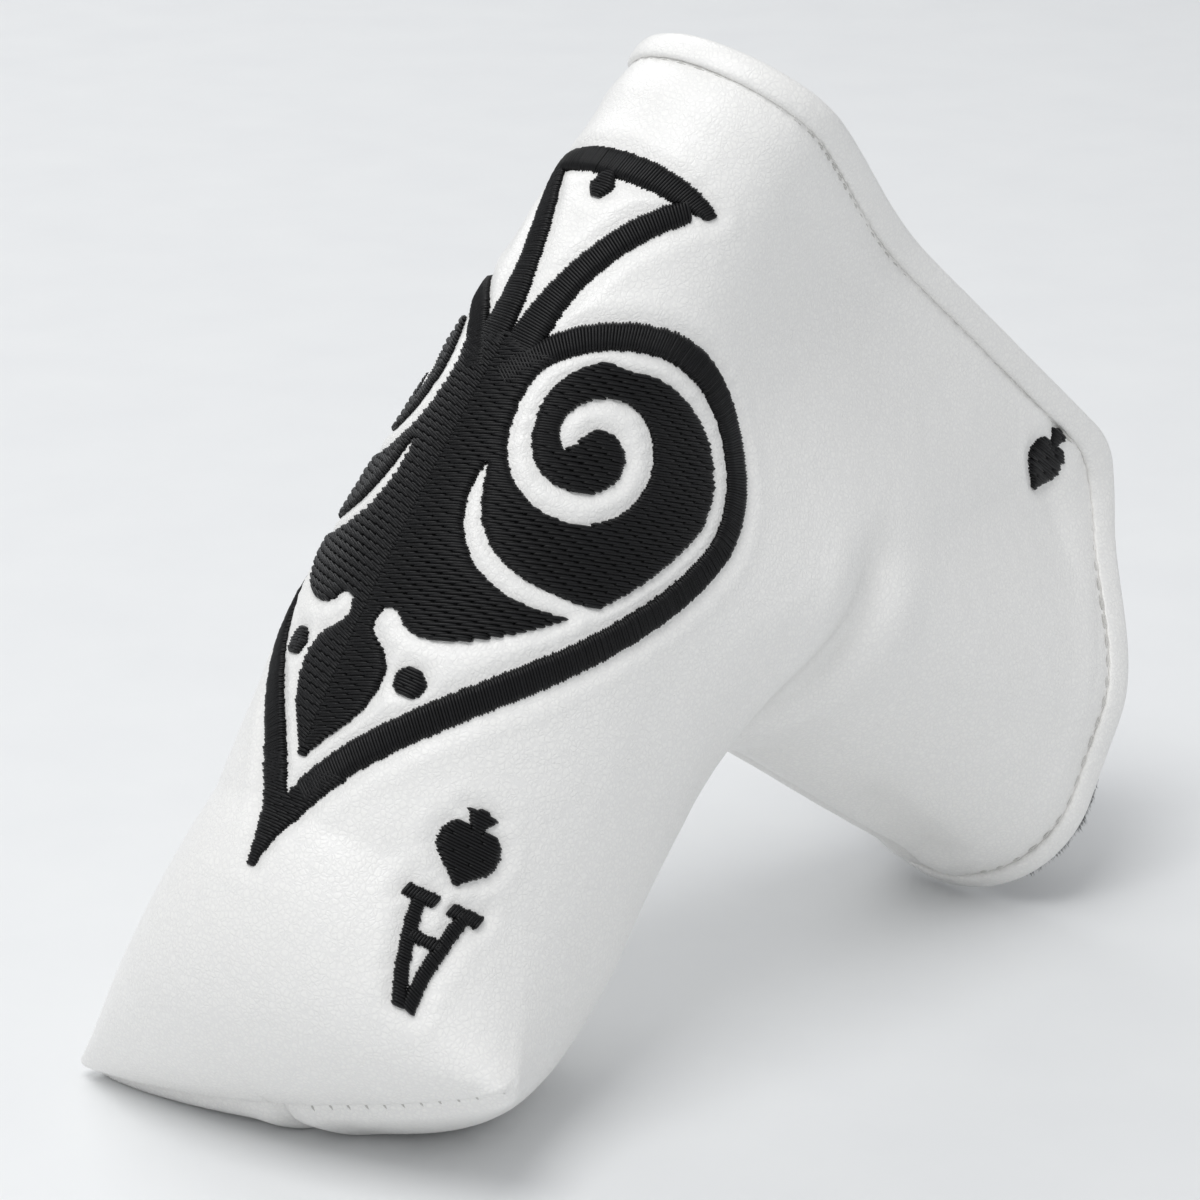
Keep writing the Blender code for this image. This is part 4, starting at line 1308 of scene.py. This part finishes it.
@dataclass
class Panel:
    """The outer panel, with its seams, creases and puckers as real relief."""

    skin: Skin
    rig: Rig
    finishes: Finishes
    thickness: float = 1.0 * MM
    stitch_pitch: float = 3.1 * MM
    seam_roll: float = 0.5 * MM          # swell beside the toe seam, twice as high below
    needle_pull: tuple[float, float] = (0.20 * MM, 0.06 * MM)    # of its stitches, near and far
    lip: float = 0.30 * MM               # upper edge of the toe seam, which laps the lower
    valley: float = 0.40 * MM
    gutter: tuple[float, float] = (0.95, 0.45)    # underside seam's depth and its rolls, mm
    band_dip: float = 0.42 * MM          # where the binding's stitches pull the panel down
    band_roll: float = 0.30 * MM
    bed: float = 0.42                    # panel pressed down under the embroidery, mm
    bed_rim: float = 0.16
    wrinkle: float = 0.10
    waves: tuple[tuple[float, float, float], ...] = (    # height, size and seed
        (0.16 * MM, 13 * MM, 3.1), (0.05 * MM, 4.2 * MM, 8.7))
    crease: tuple[tuple[float, float], ...] = (    # a and b of the soft fold, mm
        (30.0, 57.0), (40.0, 57.5), (52.0, 60.0), (66.0, 61.5), (76.0, 65.0))
    outer: dict[int, np.ndarray] = field(default_factory=dict)
    normals: dict[int, np.ndarray] = field(default_factory=dict)

    def relief(self, side: int, cover: np.ndarray, placed: np.ndarray,
               tree: KDTree, beats: np.ndarray) -> np.ndarray:
        """How far each point of one side stands out from the plain skin.

        Args:
            side: near or far.
            cover: its grid in a, b, y.
            placed: its grid in the frame.
            tree: points all over the embroidery.
            beats: how far along the needlework each of them lies.

        Returns:
            One height per point.
        """
        seam = run_length(placed, 0)
        mouth = seam[self.skin.row_count - len(self.skin.tucks) - 1][None] - seam
        round_way = run_length(placed, 1)
        under = round_way[:, -1:] - round_way
        share = self.skin.shares[side]
        lower = smooth(0.45, 0.55, share)
        rise = seam / (3.0 * MM)
        height = self.seam_roll * (1 + lower) * rise * np.exp(1 - rise)
        pinch = np.cos(math.pi * round_way[:1] / self.stitch_pitch) ** 2
        pull = self.needle_pull[0 if side == NEAR else 1]
        height -= pull * pinch * np.exp(-seam / (2.4 * MM)) * smooth(0, 1 * MM, seam)
        height += self.lip * (1 - lower) * bell(seam, 1.0 * MM, 0.9 * MM)
        height -= self.valley * lower * bell(seam, 1.2 * MM, 1.0 * MM)
        depth, roll = self.gutter
        height += (-depth * bell(under, 0, 1.1 * MM) + roll * bell(under, 4 * MM, 2.6 * MM)) * MM
        dip = 0.75 + 0.25 * np.cos(2 * math.pi * round_way / self.stitch_pitch)
        height -= self.band_dip * dip * bell(mouth, 0, 1.5 * MM) * (mouth >= 0)
        height += self.band_roll * bell(mouth, 5.5 * MM, 2.6 * MM)
        height += self.folds(cover)
        for tall, size, seed in self.waves:
            height += tall * noise_at(placed, size, seed)
        height += self.puckers(placed, tree, beats)
        return height * smooth(0, 0.8 * MM, seam)

    def folds(self, cover: np.ndarray) -> np.ndarray:
        """The soft fold that runs up the side from the crotch, and one at the neck's foot."""
        a, b = cover[..., 0] / MM, cover[..., 1] / MM
        line = np.array(self.crease)
        above = b - np.interp(a, line[:, 0], line[:, 1])
        fade = smooth(24, 34, a) * (1 - smooth(56, 82, a))
        fold = fade * (-1.5 * bell(above, 0, 4.2) + 1.1 * bell(above, 8.5, 5.0)
                       + 0.5 * bell(above, -8.0, 4.0))
        lean = a - np.interp(b, (92.0, 116.0), (41.0, 39.0))
        foot = smooth(86, 98, b) * (1 - smooth(116, 126, b))
        return (fold - 0.7 * foot * bell(lean, 0, 2.2)) * MM

    def puckers(self, placed: np.ndarray, tree: KDTree, beats: np.ndarray) -> np.ndarray:
        """The pull of the stitches: a bed pressed down under them and short wrinkles round it.

        Args:
            placed: a side's grid in the frame.
            tree: points all over the embroidery.
            beats: how far along the needlework each of them lies.

        Returns:
            One height per point.
        """
        found = [tree.find(Vector(point)) for point in placed.reshape(-1, 3)]
        away = np.array([hit[2] for hit in found])
        along = beats[np.array([hit[1] for hit in found])]
        wrinkles = np.sin(along * 2.3 + 1.6 * np.sin(along * 0.37)) * (
            0.6 + 0.4 * np.sin(along * 0.21 + 1.0))
        height = (-self.bed * bell(away, 0, 1.2 * MM)
                  + self.bed_rim * bell(away, 2.6 * MM, 1.3 * MM))
        height += self.wrinkle * wrinkles * np.exp(-away / (4.0 * MM)) * smooth(
            0, 1.2 * MM, away)
        return (height * MM).reshape(placed.shape[:-1])

    def build(self, stitched: np.ndarray, beats: np.ndarray) -> None:
        """Builds both sides.

        Args:
            stitched: points all over the embroidery.
            beats: how far along the needlework each of them lies.
        """
        tree = KDTree(len(stitched))
        for number, point in enumerate(stitched):
            tree.insert(Vector(point), number)
        tree.balance()
        shape = self.skin.shape
        cover = {side: self.skin.layer(0.0, side) for side in (NEAR, FAR)}
        plain = {side: shape.to_frame(cover[side]) for side in (NEAR, FAR)}
        first = dict(zip((NEAR, FAR), loop_normals(plain[NEAR], plain[FAR])))
        height = {side: self.relief(side, cover[side], plain[side], tree, beats)
                  for side in (NEAR, FAR)}
        for side in (NEAR, FAR):
            raised = plain[side] + first[side] * height[side][..., None]
            raised[..., 2] = np.maximum(raised[..., 2], 0.05 * MM)
            self.outer[side] = raised
        self.normals = dict(zip((NEAR, FAR), loop_normals(self.outer[NEAR], self.outer[FAR])))
        for side, word in SIDE_NAMES.items():
            inner = shape.to_frame(self.skin.layer(self.thickness, side), self.thickness)
            # painted shade: the panel is darkened where its relief sinks, in the toe seam's
            # valley, the underside gutter, the binding's dip, the crotch fold and the beds under
            # the embroidery
            shade_and_scuff = np.clip(-height[side] / (0.9 * MM), 0, 1) * 0.8
            piece = shell_piece(f"panel_{word}", self.outer[side], inner, self.normals[side],
                                self.finishes.leather, shade_and_scuff)
            self.rig.bend(piece, side)
            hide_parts(f"pocket_panel_{word}", f"{word}_flap_panel")
            LOG.info("panel_%s: %d vertices", word, len(piece.data.vertices))


@dataclass
class Padding:
    """The foam between panel and lining, and the plush lining itself."""

    shape: CoverShape
    rig: Rig
    finishes: Finishes
    foam: tuple[float, float] = (1.35 * MM, 2.85 * MM)      # depths of its two faces
    lining: tuple[float, float] = (3.25 * MM, 4.15 * MM)
    pile: float = 0.30 * MM              # unevenness of the lining's inner face

    def build(self) -> None:
        """Builds the foam and the lining of both sides."""
        skin = Skin(self.shape, toe_rows=18, body_rows=60, columns=90, tucks=())
        for name, depths, finish, slot in (
                ("foam", self.foam, self.finishes.foam, Slot.FOAM),
                ("lining", self.lining, self.finishes.plush, Slot.LINING)):
            faces = [{side: self.shape.to_frame(skin.layer(depth, side), depth)
                      for side in (NEAR, FAR)} for depth in depths]
            normals = dict(zip((NEAR, FAR), loop_normals(faces[0][NEAR], faces[0][FAR])))
            for side, word in SIDE_NAMES.items():
                outer, inner = faces[0][side], faces[1][side]
                if name == "lining":
                    nap = self.pile * noise_at(inner, 2.2 * MM, 5.5)
                    inner = inner + normals[side] * np.abs(nap)[..., None]
                piece = shell_piece(f"{name}_{word}", outer, inner, normals[side], finish)
                self.rig.bend(piece, side)
                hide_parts(f"pocket_{name}_{word}", f"{word}_flap_{name}")
                LOG.info("%s: built", piece.name)


# --- Edge binding, pile and seams -----------------------------------------------------------

@dataclass
class Binding:
    """The band folded over the mouth's rim, pulled down by its stitches at one edge."""

    shape: CoverShape
    rig: Rig
    finishes: Finishes
    steps: int = 420
    stitch_pitch: float = 3.1 * MM
    stitch_half: float = 1.15 * MM       # half a stitch's length
    stitch_points: int = 7
    stitch_at: float = -0.42 * MM        # how far past the panel's edge the row lies
    thread_half: float = 0.20 * MM
    pinch: float = 0.16 * MM             # pull of the stitches on the band's inner edge
    pinched: tuple[float, ...] = (0.0, 0.4, 1.0, 1.0, 0.5)    # share of it, by profile point
    profile: tuple[tuple[float, float], ...] = (    # past the edge and inset, mm
        (0.35, 0.75), (0.02, 0.35), (-0.08, -0.05), (0.12, -0.42), (0.55, -0.62), (1.3, -0.70),
        (2.3, -0.72), (3.1, -0.62), (3.75, -0.30), (4.12, 0.25), (4.32, 1.0), (4.38, 2.0),
        (4.32, 3.0), (4.05, 3.75), (3.5, 4.15), (2.4, 4.2), (1.0, 4.2), (0.45, 3.9),
        (0.40, 2.4))

    def ring(self, side: int) -> tuple[np.ndarray, np.ndarray]:
        """One side of the band.

        Args:
            side: near or far.

        Returns:
            Its points, steps along by profile, and the distance along of each step.
        """
        fine = bunched(1200)
        along = run_length(self.shape.body(1.0, fine, 0.0, side), 0)
        way = np.linspace(0, along[-1], self.steps + 1)
        share = np.interp(way, along, fine)
        pull = self.pinch * (0.5 + 0.5 * np.cos(2 * math.pi * way / self.stitch_pitch))
        rows = []
        for number, (past, inset) in enumerate(self.profile):
            row = self.shape.body(1.0, share, inset * MM, side, past * MM)
            if number < len(self.pinched):
                row[:, 2] -= side * pull * self.pinched[number]
            rows.append(self.shape.placed(row))
        return np.stack(rows, axis=1), way

    def build(self) -> None:
        """Builds the near and far bands with one run of normals, and their stitches."""
        rings = {side: self.ring(side) for side in (NEAR, FAR)}
        loop = np.concatenate((rings[NEAR][0], rings[FAR][0][-2:0:-1]))
        loop += noise_at(loop, 5 * MM, 2.2)[..., None] * (0.05 * MM)
        loop[..., 2] = np.maximum(loop[..., 2], 0.0)
        around = np.roll(loop, -1, axis=1) - np.roll(loop, 1, axis=1)
        onward = np.roll(loop, -1, axis=0) - np.roll(loop, 1, axis=0)
        normals = outward(unit(np.cross(around, onward)), loop)
        last = self.steps
        back = np.concatenate(([0], np.arange(2 * last - 1, last - 1, -1)))
        for side, pick in ((NEAR, np.arange(last + 1)), (FAR, back)):
            self._side(side, loop[pick], normals[pick])
            self._stitches(side, rings[side][1])

    def _side(self, side: int, points: np.ndarray, normals: np.ndarray) -> None:
        """One side of the band as a closed piece."""
        word = SIDE_NAMES[side]
        steps, count = points.shape[:2]
        index = np.arange(steps * count).reshape(steps, count)
        walls = grid_faces(np.concatenate((index, index[:, :1]), axis=1))
        faces = [tuple(face) for face in walls] + [tuple(index[0]), tuple(index[-1][::-1])]
        if winds_inward(points, normals, walls[steps * count // 2]):
            faces = [face[::-1] for face in faces]
        # painted shade and scuffing: the band is darkened most where its inner edge rolls under
        # the panel's edge, which is painted shade in the join, and by up to half over its outer
        # rim, which is scuffing of the edge
        shade_and_scuff = np.tile(np.interp(np.arange(count), (0, 4, 9, 11, 14), (1, 0, 0.25, 0.5, 0)),
                       steps)
        piece = mesh_piece(f"binding_{word}", points.reshape(-1, 3), faces,
                           self.finishes.leather, normals.reshape(-1, 3), {"shade_and_scuff": shade_and_scuff})
        self.rig.bend(piece, side)
        nodes = [f"{word}_flap_binding"] + (["heel_binding", "neck_binding"]
                                            if side == NEAR else [])
        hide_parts(*nodes)
        LOG.info("%s: %d vertices", piece.name, len(piece.data.vertices))

    def _stitches(self, side: int, way: np.ndarray) -> None:
        """The row of sewing thread that sinks in beside the band's inner edge."""
        count = int(way[-1] / self.stitch_pitch)
        middle = (np.arange(count) + 0.5) * self.stitch_pitch
        spread = np.linspace(-1, 1, self.stitch_points)
        at = middle[:, None] + spread[None] * self.stitch_half
        fine = bunched(1200)
        along = run_length(self.shape.body(1.0, fine, 0.0, side), 0)
        share = np.interp(at, along, fine).reshape(-1)
        dive = np.abs(spread) ** 3
        depth = (0.34 + 0.30 * dive) * MM
        base, below = (
            self.shape.placed(self.shape.body(1.0, share, inset, side, self.stitch_at)
                              .reshape(count, self.stitch_points, 3))
            for inset in (0.0, 1.0 * MM))
        inward = unit(below - base)
        centres = base + inward * depth[None, :, None]
        tangent = unit(np.gradient(centres, axis=1))
        half = self.thread_half * (1 - 0.3 * dive)[None, :, None]
        sideways = unit(np.cross(inward, tangent)) * half
        points, faces = tubes(centres, sideways, -inward * half)
        tone = np.full(len(points), 0.8)
        piece = mesh_piece(f"binding_stitches_{SIDE_NAMES[side]}", points, faces,
                           self.finishes.white_thread, values={"tone": tone})
        self.rig.bend(piece, side)


@dataclass
class Pile:
    """Cut fibres of the plush where they show: inside the mouth and past the rim."""

    shape: CoverShape
    rig: Rig
    finishes: Finishes
    inside_count: int = 5200
    fringe_count: int = 1500
    inside_stations: tuple[float, float] = (0.91, 0.998)     # where fibres line the mouth
    inside_length: float = 1.045 * MM
    inside_scatter: float = 0.22 * MM
    inside_root: float = 0.16 * MM       # half a fibre's width, drawn coarse enough to show
    fringe_shares: tuple[float, float] = (0.885, 0.988)      # the stretch low on the neck end
    fringe_proud: tuple[float, float] = (4.7 * MM, 1.178 * MM)    # least reach, and clumps
    fringe_scatter: float = 0.15 * MM
    fringe_root: float = 0.21 * MM

    def build(self) -> None:
        """Builds each side's fibres as one piece."""
        for side, word in SIDE_NAMES.items():
            random = np.random.default_rng(50 + side)
            roots, tips = [], []
            share = random.uniform(0.004, 0.996, self.inside_count)
            stations = random.uniform(*self.inside_stations, self.inside_count)
            for station, part in zip(stations, share):
                base, deep = (self.shape.body(station, np.array([part]), inset, side)[0]
                              for inset in (self.shape.wall, self.shape.wall + 0.3 * MM))
                roots.append(base)
                tips.append(base + unit(deep - base) * self.inside_length
                            + random.normal(0, self.inside_scatter, 3))
            low = random.uniform(*self.fringe_shares, self.fringe_count)
            clump = 0.70 + 0.30 * np.sin(low * 260) + random.uniform(-0.2, 0.2, len(low))
            least, more = self.fringe_proud
            reach = least + more * np.clip(clump, 0.1, 1.0) * smooth(0.880, 0.925, low)
            curl = random.uniform(0.2 * MM, 1.8 * MM, len(low))
            for part, past, depth in zip(low, reach, curl):
                base = self.shape.body(1.0, np.array([part]), 3.6 * MM, side, 4.1 * MM)[0]
                tip = self.shape.body(1.0, np.array([part]), depth, side, past)[0]
                roots.append(base)
                tips.append(tip + random.normal(0, self.fringe_scatter, 3))
            roots = self.shape.placed(np.array(roots))
            tips = self.shape.placed(np.array(tips))
            tips[:, 2] = np.maximum(tips[:, 2], 0.1 * MM)
            along = unit(tips - roots)
            thick = np.repeat((self.inside_root, self.fringe_root),
                              (self.inside_count, self.fringe_count))[:, None]
            side_1 = unit(np.cross(along, (0.3, 0.9, 0.2))) * thick
            side_2 = np.cross(along, side_1)
            spread = [roots + side_1 * math.cos(turn) + side_2 * math.sin(turn)
                      for turn in np.radians((0, 120, 240))]
            points = np.stack((*spread, tips), axis=1).reshape(-1, 3)
            index = np.arange(len(points)).reshape(-1, 4)
            faces = np.concatenate([index[:, [0, 1, 3]], index[:, [1, 2, 3]],
                                    index[:, [2, 0, 3]], index[:, [2, 1, 0]]])
            piece = mesh_piece(f"pile_{word}", points, faces, self.finishes.plush)
            self.rig.bend(piece, side)
            LOG.info("%s: %d fibres", piece.name, len(tips))


@dataclass
class SeamThread:
    """Sewing thread that shows where the near half of the toe seam pulls apart."""

    panel: Panel
    finishes: Finishes
    pitch: float = 3.1 * MM
    half: float = 0.18 * MM              # half the thread's thickness
    rise: tuple[float, ...] = (-0.20, -0.05, 0.02, -0.16)    # over the panel, at each point, mm

    def build(self) -> None:
        """Lays short threads across the near half of the toe seam, which gapes a little."""
        centres, upward = [], []
        rise = np.array(self.rise)[:, None] * MM
        grid, normals = self.panel.outer[NEAR], self.panel.normals[NEAR]
        way = run_length(grid[:1], 1)[0]
        half = len(way) // 2
        for at in np.arange(2 * self.pitch, way[half] - 3 * MM, self.pitch):
            column = int(np.interp(at, way[:half], np.arange(half)))
            other = grid.shape[1] - 1 - column
            path = np.array([grid[1, column], grid[0, column], grid[1, other],
                             grid[2, other]])
            lean = np.array([normals[1, column],
                             unit(normals[1, column] + normals[1, other]),
                             normals[1, other], normals[2, other]])
            centres.append(path + lean * rise)
            upward.append(lean)
        centres, upward = np.array(centres), np.array(upward)
        tangent = unit(np.gradient(centres, axis=1))
        sideways = unit(np.cross(tangent, upward)) * self.half
        points, faces = tubes(centres, sideways, upward * self.half)
        # painted shade: this thread, which lies down in the gaping seam, takes a darker tone than
        # the binding's stitches of the same thread
        tone = np.full(len(points), 0.5)
        piece = mesh_piece("toe_seam_thread", points, faces, self.finishes.white_thread,
                           values={"tone": tone})
        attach(piece, "pocket")
        LOG.info("toe_seam_thread: %d stitches", len(centres))


class Magnets:
    """The closure's discs, which stay the CAD's own solids in the foam."""

    @staticmethod
    def dress(finishes: Finishes) -> None:
        """Plates them."""
        for name, node in frame["nodes"].items():
            if "magnet" in name:
                for slot in node.material_slots:
                    slot.material = finishes.nickel
                LOG.info("%s: plated", name)


# --- Studio ---------------------------------------------------------------------------------

@dataclass
class Studio:
    """A pale paper sweep, soft boxes and the camera."""

    finishes: Finishes
    azimuth: float = -44.0
    elevation: float = 18.77
    distance: float = 0.5985
    aim: tuple[float, float, float] = (-0.0165, 0.0, 0.0626)
    lens: float = 132.0
    air: str = "#eef0f3"
    air_strength: float = 0.64
    lights: tuple[tuple, ...] = (        # name, place, side and watts of each soft box
        ("key", (-0.45, -0.15, 1.05), 0.6, 5.6), ("back", (0.3, 0.9, 0.9), 0.9, 4.2))

    def build(self) -> None:
        """Sets up floor, light and camera."""
        self._sweep()
        for light in self.lights:
            self._light(*light)
        world = bpy.data.worlds.new("studio_air")
        bpy.context.scene.world = world
        world.use_nodes = True
        sky = world.node_tree.nodes["Background"]
        sky.inputs["Color"].default_value = linear(self.air)
        sky.inputs["Strength"].default_value = self.air_strength
        bpy.context.scene.view_settings.view_transform = "Standard"
        turn, rise = math.radians(self.azimuth), math.radians(self.elevation)
        back = Vector((math.sin(turn) * math.cos(rise), -math.cos(turn) * math.cos(rise),
                       math.sin(rise)))
        camera = bpy.data.objects.new("camera", bpy.data.cameras.new("camera"))
        camera.data.lens = self.lens
        camera.data.clip_start = 0.01
        camera.location = Vector(self.aim) + back * self.distance
        camera.rotation_mode = "QUATERNION"
        camera.rotation_quaternion = (-back).to_track_quat("-Z", "Y")
        bpy.context.scene.collection.objects.link(camera)
        bpy.context.scene.camera = camera

    def _sweep(self) -> None:
        """The floor, which curves up far behind."""
        turn = np.linspace(0, math.pi / 2, 16)
        run = np.concatenate(([-4.0, 1.6], 1.6 + 0.8 * np.sin(turn), [2.4]))
        rise = np.concatenate(([0.0, 0.0], 0.8 * (1 - np.cos(turn)), [4.0]))
        across = np.linspace(-4, 4, 9)
        way = unit(np.array((0.66, 0.75, 0.0)))
        side = np.array((way[1], -way[0], 0.0))
        points = (run[:, None, None] * way + across[None, :, None] * side
                  + rise[:, None, None] * np.array((0, 0, 1.0)))
        index = np.arange(len(run) * len(across)).reshape(len(run), len(across))
        floor = mesh_piece("paper_sweep", points.reshape(-1, 3), grid_faces(index)[:, ::-1],
                           self.finishes.paper)

    @staticmethod
    def _light(name: str, place: tuple[float, float, float], size: float, power: float) -> None:
        """A square soft box aimed at the cover."""
        lamp = bpy.data.lights.new(name, "AREA")
        lamp.shape = "SQUARE"
        lamp.size = size
        lamp.energy = power
        box = bpy.data.objects.new(name, lamp)
        box.location = place
        box.rotation_mode = "QUATERNION"
        box.rotation_quaternion = (Vector((0, 0, 0.06)) - box.location).to_track_quat("-Z", "Y")
        bpy.context.scene.collection.objects.link(box)


def main() -> None:
    """Builds and dresses every piece, then the studio."""
    logging.basicConfig(level=logging.INFO, format="%(name)s: %(message)s")
    finishes = Finishes()
    shape = CoverShape()
    rig = Rig(shape)
    embroidery = Embroidery(Chart(shape), finishes)
    embroidery.plan()
    panel = Panel(Skin(shape), rig, finishes)
    panel.build(*embroidery.footprint())
    embroidery.build()
    Padding(shape, rig, finishes).build()
    Binding(shape, rig, finishes).build()
    Pile(shape, rig, finishes).build()
    SeamThread(panel, finishes).build()
    Magnets.dress(finishes)
    Studio(finishes).build()


if __name__ == "__main__":
    main()
